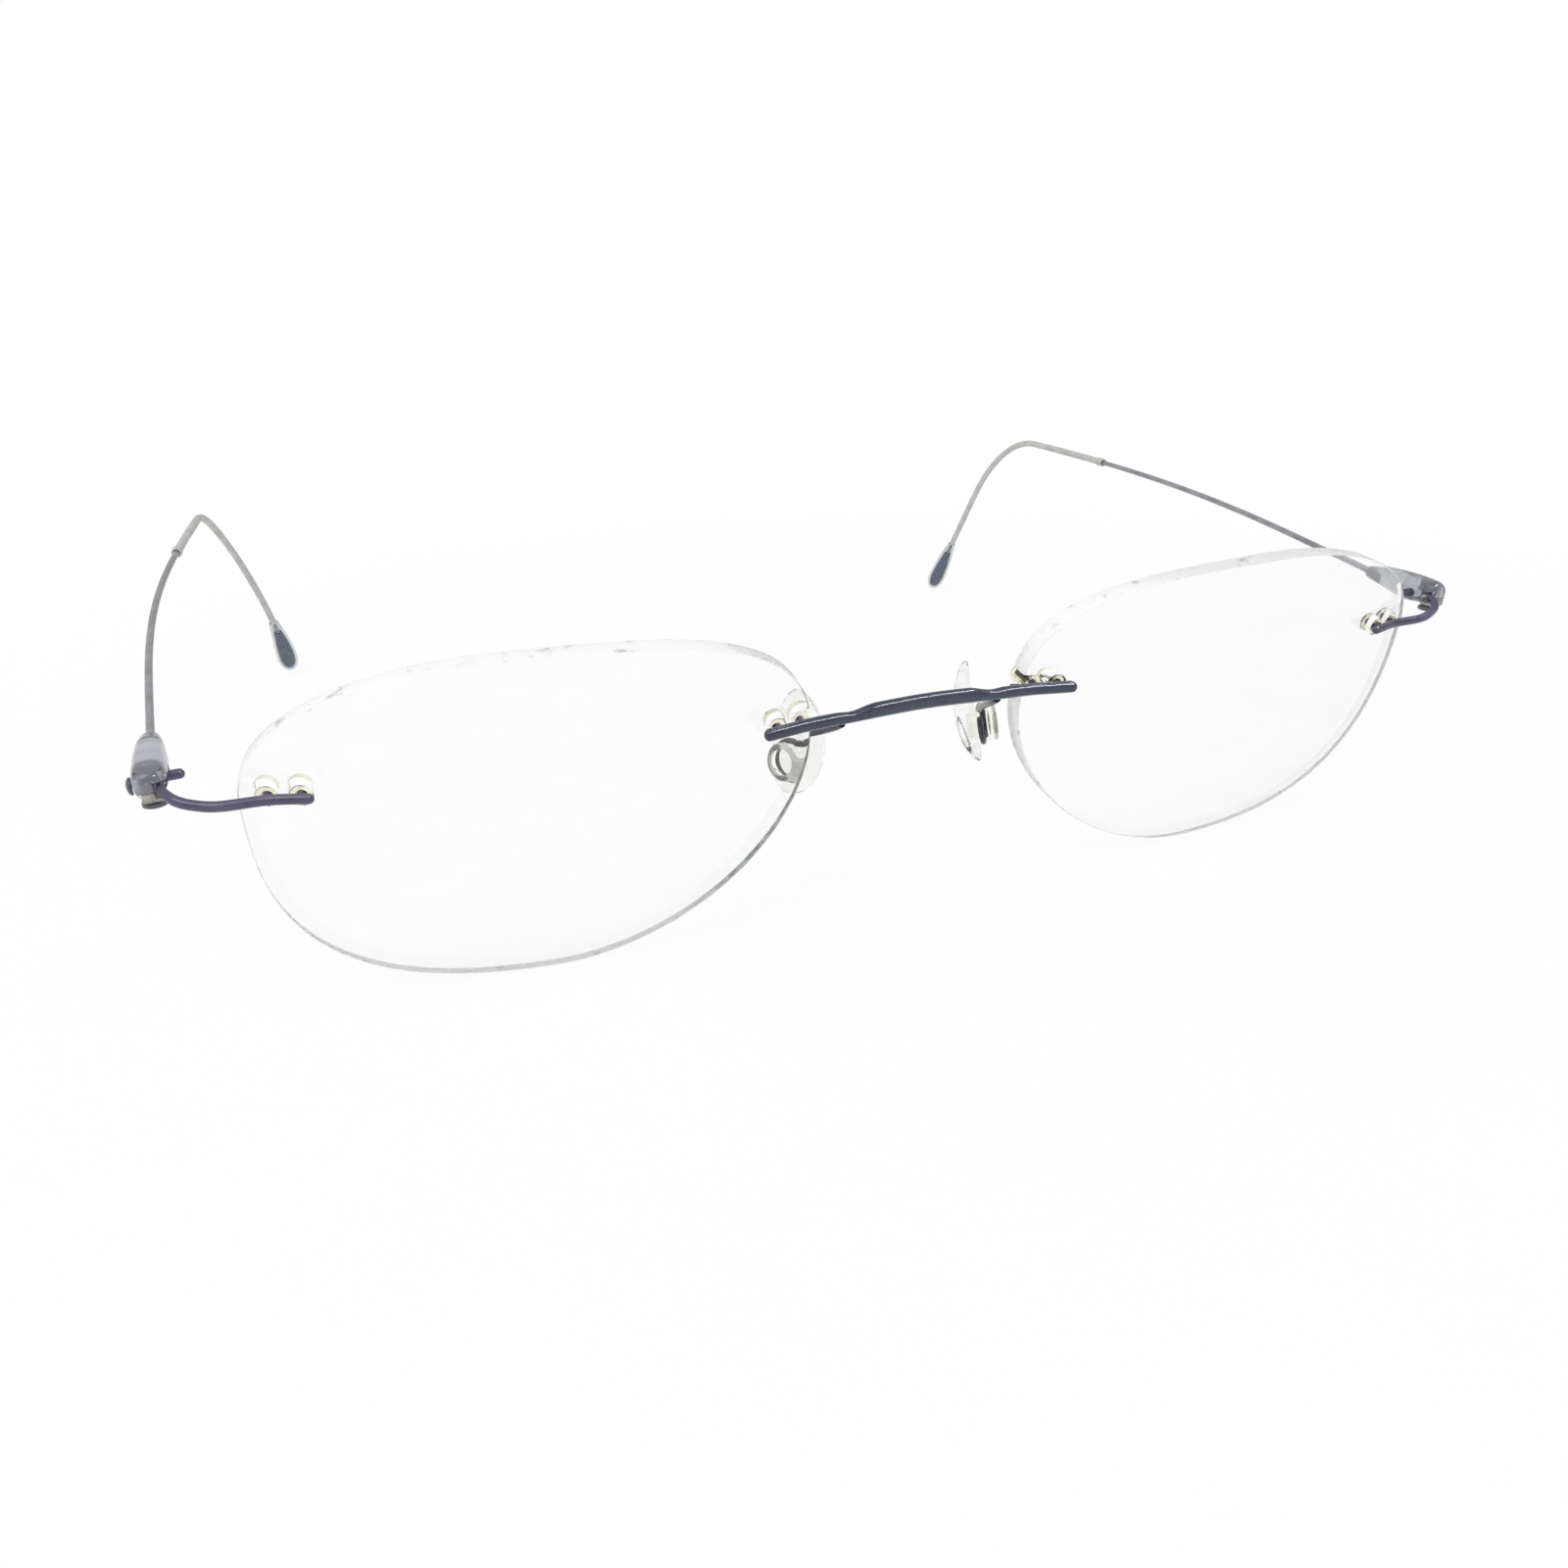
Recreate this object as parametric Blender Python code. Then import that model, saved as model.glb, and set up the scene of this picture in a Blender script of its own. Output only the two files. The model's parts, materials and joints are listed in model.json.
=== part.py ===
"""Rimless eyeglasses: drilled lenses, a one-piece bridge bar and wire temples on moulded hinge housings.

X runs towards the wearer's left, Y backwards from the lenses to the ears, and Z up. The glasses stand
on the lenses' lower edges and the temple tips, and the origin is under the middle of their bounding box.
Lengths are in metres and angles in degrees.
"""

import math

import bmesh
import bpy
from mathutils import Euler, Matrix, Vector

# Lenses
LENS_WIDTH = 0.04805
LENS_ABOVE = 0.01190
LENS_BELOW = 0.02090
LENS_THICKNESS = 0.0020
LENS_FACE_RADIUS = 0.100
LENS_BEVEL = 0.00015
LENS_OUTLINE_TURN = 1.96
LENS_WRAP = 2.4
LENS_TILT = 11.24
BRIDGE_WIDTH = 0.02158
CORNER_NOSE_TOP = 2.86
CORNER_NOSE_BOTTOM = 1.80
CORNER_TEMPLE_TOP = 2.10
CORNER_TEMPLE_BOTTOM = 2.90

# Holes and bushings
NOTCH_FROM_NOSE_EDGE = 0.00110
HOLE_FROM_NOSE_EDGE = 0.00345
OUTER_HOLE_FROM_TEMPLE_EDGE = 0.00235
INNER_HOLE_FROM_TEMPLE_EDGE = 0.00495
NOSE_PINS_UP = 0.00190
NOSE_HOLE_DROP = 0.00012
TEMPLE_PINS_UP = 0.00170
PIN_RADIUS = 0.00036
BUSHING_RADIUS = 0.00085
BUSHING_INSET = 0.00005
COLLAR_RADIUS = 0.00097
COLLAR_DEPTH = 0.00032
COLLAR_EDGE = 0.00012
FIT = 0.00010

# Bridge bar
BAR_END_RADIUS = 0.00057
BAR_NECK_RADIUS = 0.00051
BAR_MIDDLE_HEIGHT = 0.00170
BAR_MIDDLE_DEPTH = 0.00120
BAR_OVERHANG = 0.00150
BAR_STANDOFF = 0.00025
BAR_NECK_X = 0.00720
BAR_SHOULDER = 0.00130
BAR_FLAT_LENGTH = 0.0040
BAR_RISE = 0.00033
BAR_SET_BACK = 0.00115

# End pieces
WIRE_RADIUS = 0.00045
ENDPIECE_OVERHANG = 0.00100
# The wire's route: (out, back, down) where it leaves the lens, then (x, y, z) from the hinge's middle.
WIRE_BESIDE_LENS = (0.0012, 0.0027, 0.00080)
WIRE_CORNER = (
    (-0.0029, -0.0031, -0.00130),
    (-0.0020, -0.0027, -0.00108),
    (-0.0013, -0.0020, -0.00066),
    (-0.00082, -0.0011, -0.00024),
)

# Hinges
HINGE_OUT = 0.00607
HINGE_BACK = 0.00676
HINGE_UP = 0.00262
POST_RADIUS = 0.00025
FOOT_RADIUS = 0.00100
FOOT_THICKNESS = 0.00052
FOOT_BELOW = 0.00155
COIL_WIRE_RADIUS = 0.00023
COIL_TURNS = 1.15
COIL_PITCH = 0.00058
COIL_START = -0.00006

# Hinge housings
HOUSING_LENGTH = 0.01240
HOUSING_HEAD = 0.00620
HOUSING_YAW = 7.4
HOUSING_PITCH = 1.8
REAR_LIFT = -0.02
CAVITY_ROOM = 0.00012
CAVITY_RADIUS = POST_RADIUS + 2 * FIT + 2 * COIL_WIRE_RADIUS + CAVITY_ROOM
CAVITY_TOP = COIL_PITCH * COIL_TURNS + COIL_WIRE_RADIUS + FIT
HOUSING_WALL = 0.00034
HOUSING_ROOF = 0.000503
HOUSING_WIDTH = 2 * (CAVITY_RADIUS + HOUSING_WALL)
HOUSING_HEIGHT = 2 * (CAVITY_TOP + HOUSING_ROOF)
HOUSING_FRONT = CAVITY_RADIUS + HOUSING_WALL
RELIEF_BOTTOM = -0.00108
RELIEF_TOP = 0.00026
RELIEF_START = 106
RELIEF_END = 262
BLOCK_HALF_WIDTH = 0.00080
BLOCK_BACK = 0.00045
BLOCK_BOTTOM = -0.00136
BLOCK_HEIGHT = 0.00078
BLOCK_WINDOW_FORWARD = 0.00015
CROSS_PIN_BACK = 0.00235
CROSS_PIN_DOWN = 0.00052
CROSS_PIN_RADIUS = 0.00044
CROSS_PIN_INNER = 0.00245
CROSS_PIN_OUTER = 0.00194
CROSS_PIN_HEAD = 0.00076
CROSS_PIN_HEAD_DROP = 0.00025
CROSS_PIN_HEAD_FORWARD = 0.00025
FERRULE_RADIUS = 0.00048
FERRULE_LENGTH = 0.00260
FERRULE_WALL = 0.00015

# Temples
TEMPLE_RUN = 0.0835
TEMPLE_RISE_START = 7.6
TEMPLE_RISE_END = 2.9
TEMPLE_BOW_START = 7.0
TEMPLE_BOW_END = -1.2
BEND_RADIUS = 0.0178
DROP_ANGLE = -66
DROP_CURVE = 760
DROP_TURN_IN = -14
DROP_TURN_BACK = 640
TEMPLE_WIRE_RADIUS = 0.00036
CORE_WIRE_RADIUS = 0.00024
SLEEVE_START = 0.0625
SLEEVE_FRONT_RADIUS = 0.00063
SLEEVE_RADIUS = 0.00052
SLEEVE_STEP = 0.0016
TIP_LENGTH = 0.0132
TIP_WIDTH = 0.0034
TIP_DEPTH = 0.0031
TIP_START_SHARE = 0.42
TIP_WALL = 0.00036
CORE_START = 0.20
WIRE_IN_TIP = 0.50
TIP_END_RISE = 0.00056
# Shares of the tip's length at which its hollow and its outside are drawn.
TIP_HOLLOW_SHARES = (0.0, 0.10, 0.20, 0.30, 0.42, 0.55, 0.68, 0.78, 0.86, 0.91)
TIP_SHARES = (*TIP_HOLLOW_SHARES, 0.955, 0.985)

# Nose pads
PAD_CENTRE_X = 0.01065
PAD_CENTRE_BACK = 0.00819
PAD_CENTRE_DOWN = 0.00580
PAD_SPLAY = 30
PAD_FLARE = 9
PAD_HEIGHT = 0.01060
PAD_WIDTH = 0.0064
PAD_THICKNESS = 0.00150
PAD_ABOVE_EYE = 0.00150
PAD_FACE_RADIUS = 0.0100
INSERT_HOLE_RADIUS = 0.00126
INSERT_NECK_RADIUS = 0.00150
INSERT_RIM_RADIUS = 0.00186
INSERT_RIM_DEPTH = 0.00090
EYE_WIRE_RADIUS = 0.00029
EYE_ROOM = 0.00034
PAD_ARM_ROOT_X = 0.0079
PAD_ARM_SET_BACK = 0.00035
PAD_ARM_ROOT_RADIUS = 0.00044
PAD_SOCKET = 0.00040
PAD_BACK_GAP = 0.00045

# How finely round shapes are divided
LENS_POINTS = 48
WIRE_SIDES = 8
ROUND_SIDES = 16
BUSHING_SIDES = 12
HOUSING_SIDES = 18
PAD_SIDES = 24
TIP_SIDES = 12

SIDES = (("left", 1), ("right", -1))


# Meshes -------------------------------------------------------------------------------------------


def loft(rings, closed=False):
    """A closed skin through rings of points: with flat ends, or joined end to end like a pipe wall."""
    mesh = bmesh.new()
    rows = [[mesh.verts.new(point) for point in ring] for ring in rings]
    pairs = list(zip(rows, rows[1:]))
    if closed:
        pairs.append((rows[-1], rows[0]))
    else:
        mesh.faces.new(rows[0])
        mesh.faces.new(rows[-1])
    for first, second in pairs:
        for i in range(len(first)):
            j = (i + 1) % len(first)
            mesh.faces.new((first[i], first[j], second[j], second[i]))
    bmesh.ops.recalc_face_normals(mesh, faces=mesh.faces)
    return mesh


def ellipse(half_width, half_height, sides, power=2.0):
    """Points (across, up) round an ellipse, or a squarer superellipse when power is over 2."""
    points = []
    for i in range(sides):
        angle = 2 * math.pi * (i + 0.5) / sides
        across, up = math.cos(angle), math.sin(angle)
        points.append((
            half_width * math.copysign(abs(across) ** (2 / power), across),
            half_height * math.copysign(abs(up) ** (2 / power), up),
        ))
    return points


def turned(profile, axis, closed=False, sides=ROUND_SIDES):
    """A turned piece: profile gives (place along the axis, radius), and axis is "X", "Y" or "Z"."""
    rings = []
    for along, radius in profile:
        ring = [Vector((across, up, along)) for across, up in ellipse(radius, radius, sides)]
        if axis == "X":
            ring = [Vector((p.z, p.x, p.y)) for p in ring]
        if axis == "Y":
            ring = [Vector((p.x, p.z, p.y)) for p in ring]
        rings.append(ring)
    return loft(rings, closed)


def rod(start, end, radius, sides=ROUND_SIDES):
    """A plain cylinder between two points."""
    along = end - start
    turn = along.to_track_quat("Z", "Y").to_matrix().to_4x4()
    rings = []
    for place in (start, end):
        rings.append([place + turn @ Vector((a, b, 0)) for a, b in ellipse(radius, radius, sides)])
    return loft(rings)


def box(low, high):
    mesh = bmesh.new()
    bmesh.ops.create_cube(mesh, size=1.0)
    size = Vector(high) - Vector(low)
    middle = (Vector(high) + Vector(low)) / 2
    placing = Matrix.Translation(middle) @ Matrix.Diagonal((*size, 1))
    bmesh.ops.transform(mesh, verts=mesh.verts, matrix=placing)
    return mesh


def prism(outline, low, high):
    """An upright prism on an outline of (x, y) points."""
    return loft([[Vector((x, y, z)) for x, y in outline] for z in (low, high)])


# Curved routes ------------------------------------------------------------------------------------


def smooth(share):
    share = min(max(share, 0), 1)
    return share * share * (3 - 2 * share)


def mix(start, end, share):
    return start + (end - start) * share


def through(points, steps=12):
    """A fine polyline that passes smoothly through the points (Catmull-Rom)."""
    points = [Vector(p) for p in points]
    padded = [2 * points[0] - points[1]] + points + [2 * points[-1] - points[-2]]
    line = []
    for a, b, c, d in zip(padded, padded[1:], padded[2:], padded[3:]):
        for i in range(steps):
            t = i / steps
            square = (2 * a - 5 * b + 4 * c - d) * t**2
            cube = (3 * b - a - 3 * c + d) * t**3
            line.append((2 * b + (c - a) * t + square + cube) / 2)
    line.append(points[-1])
    return line


def length_of(line):
    return sum((b - a).length for a, b in zip(line, line[1:]))


def point_at(line, distance):
    """The point at a distance along the polyline, carried straight on past its ends."""
    for a, b in zip(line, line[1:]):
        step = (b - a).length
        if distance <= step or b is line[-1]:
            return a + (b - a) * (distance / step)
        distance -= step


def heading_at(line, distance):
    reach = 0.0002
    return (point_at(line, distance + reach) - point_at(line, distance - reach)).normalized()


def sections_along(line, stations, sides=WIRE_SIDES, power=2.0):
    """Rings across the line at (distance, half width, half height), with the width kept level."""
    rings = []
    for distance, half_width, half_height in stations:
        middle, heading = point_at(line, distance), heading_at(line, distance)
        level = heading.cross(Vector((0, 0, 1))).normalized()
        upward = level.cross(heading)
        shape = ellipse(half_width, half_height, sides, power)
        rings.append([middle + level * across + upward * up for across, up in shape])
    return rings


def rolled_sections(line, stations, sides=WIRE_SIDES):
    """Rings across the line at (distance, radius), turned from one to the next without twist."""
    rings = []
    across = heading_at(line, stations[0][0]).orthogonal().normalized()
    for distance, radius in stations:
        middle, heading = point_at(line, distance), heading_at(line, distance)
        across = (across - heading * across.dot(heading)).normalized()
        second = heading.cross(across)
        shape = ellipse(radius, radius, sides)
        rings.append([middle + across * a + second * b for a, b in shape])
    return rings


def round_start(radius):
    """(distance, radius) stations of a rounded end that begins a wire."""
    return [(radius * (1 - math.cos(a)), radius * math.sin(a)) for a in map(math.radians, (14, 40, 65))]


def spread(start, end, spacing):
    count = max(1, round((end - start) / spacing))
    return [mix(start, end, i / count) for i in range(count + 1)]


# Scene --------------------------------------------------------------------------------------------


def clear_scene():
    for thing in list(bpy.data.objects):
        bpy.data.objects.remove(thing)


def material(name, color, roughness, metallic=0.0, transmission=0.0):
    made = bpy.data.materials.new(name)
    made.use_nodes = True
    shader = made.node_tree.nodes["Principled BSDF"]
    shader.inputs["Base Color"].default_value = (*color, 1)
    shader.inputs["Roughness"].default_value = roughness
    shader.inputs["Metallic"].default_value = metallic
    shader.inputs["Transmission Weight"].default_value = transmission
    made.diffuse_color = (*color, 1)
    return made


def empty(name, parent, location=(0, 0, 0), turn=(0, 0, 0), side=1):
    """A mark that carries pieces. The right side's is the left side's place, mirrored."""
    made = bpy.data.objects.new(name, None)
    made.empty_display_size = 0.002
    bpy.context.scene.collection.objects.link(made)
    made.parent = parent
    place(made, location, turn, side)
    return made


def place(thing, location, turn, side):
    x, y, z = location
    thing.location = (side * x, y, z)
    thing.rotation_euler = (turn[0], side * turn[1], side * turn[2])


def add(name, mesh, finish, parent, location=(0, 0, 0), turn=(0, 0, 0), side=1):
    """One object from a mesh drawn for the left side, mirrored for the right."""
    if side < 0:
        bmesh.ops.scale(mesh, vec=(-1, 1, 1), verts=mesh.verts)
        bmesh.ops.reverse_faces(mesh, faces=mesh.faces)
    data = bpy.data.meshes.new(name)
    mesh.to_mesh(data)
    mesh.free()
    data.shade_smooth()
    data.set_sharp_from_angle(angle=math.radians(38))
    made = bpy.data.objects.new(name, data)
    bpy.context.scene.collection.objects.link(made)
    made.parent = parent
    place(made, location, turn, side)
    if finish:
        data.materials.append(finish)
    return made


def shape_with(made, operation, name, mesh, side=1):
    """Cuts a helper mesh from the object or joins it on; the helper is drawn in the object's own frame."""
    helper = add(name, mesh, None, made.parent, (0, 0, 0), (0, 0, 0), side)
    helper.location = made.location
    helper.rotation_euler = made.rotation_euler
    helper.hide_render = True
    helper.display_type = "WIRE"
    step = made.modifiers.new(name, "BOOLEAN")
    step.operation = operation
    step.solver = "EXACT"
    step.object = helper


# Lens geometry ------------------------------------------------------------------------------------


def lens_outline():
    """Points (x, z) round the left lens, evenly spaced; +x is its temple side."""
    fine = []
    count = 720
    turn = math.radians(LENS_OUTLINE_TURN)
    for i in range(count):
        angle = 2 * math.pi * i / count
        c, s = math.cos(angle), math.sin(angle)
        if c >= 0:
            power = CORNER_TEMPLE_TOP if s >= 0 else CORNER_TEMPLE_BOTTOM
        else:
            power = CORNER_NOSE_TOP if s >= 0 else CORNER_NOSE_BOTTOM
        x = LENS_WIDTH / 2 * math.copysign(abs(c) ** (2 / power), c)
        z = (LENS_ABOVE if s >= 0 else LENS_BELOW) * math.copysign(abs(s) ** (2 / power), s)
        turned_x = x * math.cos(turn) - z * math.sin(turn)
        turned_z = x * math.sin(turn) + z * math.cos(turn)
        fine.append(Vector((turned_x, 0, turned_z)))
    fine.append(fine[0])
    total = length_of(fine)
    return [point_at(fine, total * i / LENS_POINTS) for i in range(LENS_POINTS)]


def lens_front(x, z):
    """How far the lens's front face lies behind its middle, at a point on it."""
    return LENS_FACE_RADIUS - math.sqrt(LENS_FACE_RADIUS**2 - x * x - z * z)


def on_lens(x, z, behind=0.0):
    """A point in the lens's own frame, some way behind its front face."""
    return Vector((x, lens_front(x, z) + behind, z))


LENS_CENTRE_X = BRIDGE_WIDTH / 2 + LENS_WIDTH / 2 * math.cos(math.radians(LENS_WRAP))
LENS_TURN = (0, 0, math.radians(LENS_WRAP))
NOSE_EDGE = -LENS_WIDTH / 2
TEMPLE_EDGE = LENS_WIDTH / 2
NOTCH = (NOSE_EDGE + NOTCH_FROM_NOSE_EDGE, NOSE_PINS_UP)
NOSE_HOLE = (NOSE_EDGE + HOLE_FROM_NOSE_EDGE, NOSE_PINS_UP - NOSE_HOLE_DROP)
INNER_TEMPLE_HOLE = (TEMPLE_EDGE - INNER_HOLE_FROM_TEMPLE_EDGE, TEMPLE_PINS_UP)
OUTER_TEMPLE_HOLE = (TEMPLE_EDGE - OUTER_HOLE_FROM_TEMPLE_EDGE, TEMPLE_PINS_UP)
LENS_MATRIX = Matrix.Translation((LENS_CENTRE_X, 0, 0)) @ Euler(LENS_TURN).to_matrix().to_4x4()


def front_matrix():
    """The front's frame: leaning by the tilt, at the height that stands the lenses on the ground."""
    tilt = Matrix.Rotation(math.radians(LENS_TILT), 4, "X")
    lowest = min(
        (tilt @ LENS_MATRIX @ on_lens(p.x, p.z, behind)).z
        for p in lens_outline()
        for behind in (LENS_BEVEL, LENS_THICKNESS - LENS_BEVEL)
    )
    return Matrix.Translation((0, 0, -lowest)) @ tilt


FRONT = front_matrix()
HINGE = FRONT @ Vector((LENS_CENTRE_X + TEMPLE_EDGE + HINGE_OUT, HINGE_BACK, HINGE_UP))
PAD_EYE = FRONT @ Vector((PAD_CENTRE_X, PAD_CENTRE_BACK, -PAD_CENTRE_DOWN))
PAD_TURN = (0, math.radians(-PAD_FLARE), math.radians(-PAD_SPLAY))
HOUSING_TURN = (0, 0, math.radians(-HOUSING_YAW))


# Lenses and bushings ------------------------------------------------------------------------------


def build_lens(side_name, side, front, finish):
    outline = lens_outline()

    def ring(scale, behind):
        return [on_lens(p.x * scale, p.z * scale, behind) for p in outline]

    inset = 1 - 2 * LENS_BEVEL / LENS_WIDTH
    steps = (0.25, 0.65, inset)
    rings = [ring(scale, 0) for scale in steps]
    rings += [ring(1, LENS_BEVEL), ring(1, LENS_THICKNESS - LENS_BEVEL)]
    rings += [ring(scale, LENS_THICKNESS) for scale in reversed(steps)]
    lens = add(f"lens_{side_name}", loft(rings), finish, front, (LENS_CENTRE_X, 0, 0), LENS_TURN, side)
    through_lens = 0.004
    hole_radius = BUSHING_RADIUS + FIT
    holes = {"nose": NOSE_HOLE, "inner": INNER_TEMPLE_HOLE, "outer": OUTER_TEMPLE_HOLE, "notch": NOTCH}
    for name, (x, z) in holes.items():
        start, end = on_lens(x, z, -through_lens), on_lens(x, z, through_lens + LENS_THICKNESS)
        drill = rod(start, end, hole_radius)
        shape_with(lens, "DIFFERENCE", f"{name}_drill_{side_name}", drill, side)
    x, z = NOTCH
    front_y = lens_front(x, z)
    mouth = box(
        (x - 2 * NOTCH_FROM_NOSE_EDGE, front_y - through_lens, z - hole_radius),
        (x, front_y + LENS_THICKNESS + through_lens, z + hole_radius),
    )
    shape_with(lens, "DIFFERENCE", f"notch_mouth_{side_name}", mouth, side)


def collar_seat(x):
    """How far behind the lens's front a collar at x begins, clear of the curved back of the lens."""
    slope = abs(x) / LENS_FACE_RADIUS
    return LENS_THICKNESS + FIT + slope * COLLAR_RADIUS


def build_bushings(side_name, side, front, finish):
    """Clear bushings pressed in the lens from behind, each with a round collar on the back of the lens."""
    places = {
        "nose_inner": NOTCH,
        "nose_outer": NOSE_HOLE,
        "temple_inner": INNER_TEMPLE_HOLE,
        "temple_outer": OUTER_TEMPLE_HOLE,
    }
    bore = PIN_RADIUS + FIT
    for name, (x, z) in places.items():
        seat = collar_seat(x)
        tip = seat + COLLAR_DEPTH
        profile = (
            (BUSHING_INSET, bore),
            (BUSHING_INSET, BUSHING_RADIUS),
            (seat, BUSHING_RADIUS),
            (seat, COLLAR_RADIUS),
            (tip - COLLAR_EDGE, COLLAR_RADIUS),
            (tip, COLLAR_RADIUS - COLLAR_EDGE),
            (tip, bore),
        )
        mesh = turned(profile, "Y", closed=True, sides=BUSHING_SIDES)
        bmesh.ops.translate(mesh, vec=on_lens(x, z), verts=mesh.verts)
        add(f"bushing_{name}_{side_name}", mesh, finish, front, (LENS_CENTRE_X, 0, 0), LENS_TURN, side)


# Bridge -------------------------------------------------------------------------------------------


def bar_line_over_lens(x):
    """The bar's centre where it lies along the lens's front, at a place across the lens."""
    return LENS_MATRIX @ on_lens(x, NOSE_PINS_UP, -BAR_STANDOFF - BAR_END_RADIUS)


BAR_END = bar_line_over_lens(NOSE_HOLE[0] + BAR_OVERHANG)
BAR_LENS_EDGE = bar_line_over_lens(NOTCH[0])


def bar_shape(x):
    """(back, up, half depth, half height) of the bar at a distance from its middle."""
    to_shoulder = (BAR_NECK_X - x) / BAR_SHOULDER
    raised = smooth(to_shoulder)
    thick = smooth((x - BAR_NECK_X) / BAR_SHOULDER)
    half_height = mix(mix(BAR_NECK_RADIUS, BAR_END_RADIUS, thick), BAR_MIDDLE_HEIGHT / 2, raised)
    half_depth = mix(mix(BAR_NECK_RADIUS, BAR_END_RADIUS, thick), BAR_MIDDLE_DEPTH / 2, raised)
    flat = BAR_FLAT_LENGTH / 2
    toward_lens = smooth((x - flat) / (BAR_LENS_EDGE.x - flat))
    back = mix(BAR_SET_BACK, BAR_LENS_EDGE.y, toward_lens)
    if x > BAR_LENS_EDGE.x:
        back = mix(BAR_LENS_EDGE.y, BAR_END.y, (x - BAR_LENS_EDGE.x) / (BAR_END.x - BAR_LENS_EDGE.x))
    bottom_middle = NOSE_PINS_UP + BAR_RISE - BAR_MIDDLE_HEIGHT / 2
    bottom_end = NOSE_PINS_UP - NOSE_HOLE_DROP - BAR_END_RADIUS
    bottom = mix(bottom_middle, bottom_end, smooth(x / (BAR_NECK_X + BAR_SHOULDER)))
    return back, bottom + half_height, half_depth, half_height


def bar_ring(x, shrink=1.0):
    back, up, half_depth, half_height = bar_shape(abs(x))
    points = ellipse(half_depth * shrink, half_height * shrink, 12, 2.3)
    return [Vector((x, back + a, up + b)) for a, b in points]


def build_bridge(front, finish):
    end = BAR_END.x
    radius = BAR_END_RADIUS
    half = [end - d for d, _ in round_start(radius)]
    shrinks = [r / radius for _, r in round_start(radius)]
    half += spread(end - radius, BAR_NECK_X + BAR_SHOULDER, 0.0018)
    half += spread(BAR_NECK_X + BAR_SHOULDER, BAR_NECK_X - BAR_SHOULDER, 0.0006)[1:]
    half += spread(BAR_NECK_X - BAR_SHOULDER, BAR_FLAT_LENGTH / 2, 0.0013)[1:]
    shrinks += [1.0] * (len(half) - len(shrinks))
    rings = [bar_ring(-x, k) for x, k in zip(half, shrinks)]
    rings += [bar_ring(x, k) for x, k in reversed(list(zip(half, shrinks)))]
    bar = add("bridge_bar", loft(rings), finish, front)
    for side_name, side in SIDES:
        for name, (x, z) in (("notch", NOTCH), ("hole", NOSE_HOLE)):
            start = LENS_MATRIX @ on_lens(x, z, -BAR_STANDOFF - BAR_END_RADIUS)
            end_point = LENS_MATRIX @ on_lens(x, z, collar_seat(x) + COLLAR_DEPTH - FIT)
            pin = rod(start, end_point, PIN_RADIUS, 12)
            shape_with(bar, "UNION", f"{name}_pin_{side_name}", pin, side)


# End pieces and hinges ----------------------------------------------------------------------------


def endpiece_line():
    """The left end piece's wire: along the lens, round the corner, and round the post."""

    def over_lens(x):
        return FRONT @ LENS_MATRIX @ on_lens(x, TEMPLE_PINS_UP, -FIT - WIRE_RADIUS)

    coil_radius = POST_RADIUS + FIT + COIL_WIRE_RADIUS
    coil = []
    steps = round(COIL_TURNS * 12)
    for i in range(steps + 1):
        angle = math.pi - 2 * math.pi * COIL_TURNS * i / steps
        height = COIL_START + COIL_PITCH * COIL_TURNS * i / steps
        coil.append((coil_radius * math.cos(angle), coil_radius * math.sin(angle), height))
    out, back, down = WIRE_BESIDE_LENS
    beside_lens = FRONT @ Vector((LENS_CENTRE_X + TEMPLE_EDGE + out, back, HINGE_UP - down))
    start = INNER_TEMPLE_HOLE[0] - ENDPIECE_OVERHANG
    points = [over_lens(x) for x in (start, INNER_TEMPLE_HOLE[0], OUTER_TEMPLE_HOLE[0])]
    points.append(beside_lens)
    points += [HINGE + Vector(p) for p in (*WIRE_CORNER, *coil)]
    return through(points), HINGE + Vector(WIRE_CORNER[1]), HINGE + Vector(coil[0])


def nearest_distance(line, target):
    steps = spread(0, length_of(line), 0.0002)
    return min(steps, key=lambda distance: (point_at(line, distance) - target).length)


def build_endpiece(side_name, side, root, finish):
    line, corner, coil_start = endpiece_line()
    total = length_of(line)
    thinning, coil = nearest_distance(line, corner), nearest_distance(line, coil_start)

    def radius_at(distance):
        return mix(WIRE_RADIUS, COIL_WIRE_RADIUS, smooth((distance - thinning) / (coil - thinning)))

    stations = round_start(WIRE_RADIUS)
    stations += [(d, WIRE_RADIUS) for d in spread(WIRE_RADIUS, thinning - 0.003, 0.0028)]
    stations += [(d, radius_at(d)) for d in spread(thinning - 0.003, coil, 0.00065)[1:]]
    rounded = [(total - d, r) for d, r in reversed(round_start(COIL_WIRE_RADIUS))]
    stations += [(d, COIL_WIRE_RADIUS) for d in spread(coil, total - COIL_WIRE_RADIUS, 0.00042)[1:]]
    mesh = loft(rolled_sections(line, stations + rounded))
    wire = add(f"endpiece_{side_name}", mesh, finish, root, side=side)
    for name, (x, z) in (("inner", INNER_TEMPLE_HOLE), ("outer", OUTER_TEMPLE_HOLE)):
        place_on = FRONT @ LENS_MATRIX
        start = place_on @ on_lens(x, z, -FIT - WIRE_RADIUS)
        end = place_on @ on_lens(x, z, collar_seat(x) + COLLAR_DEPTH - FIT)
        shape_with(wire, "UNION", f"{name}_pin_{side_name}", rod(start, end, PIN_RADIUS, 12), side)


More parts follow.
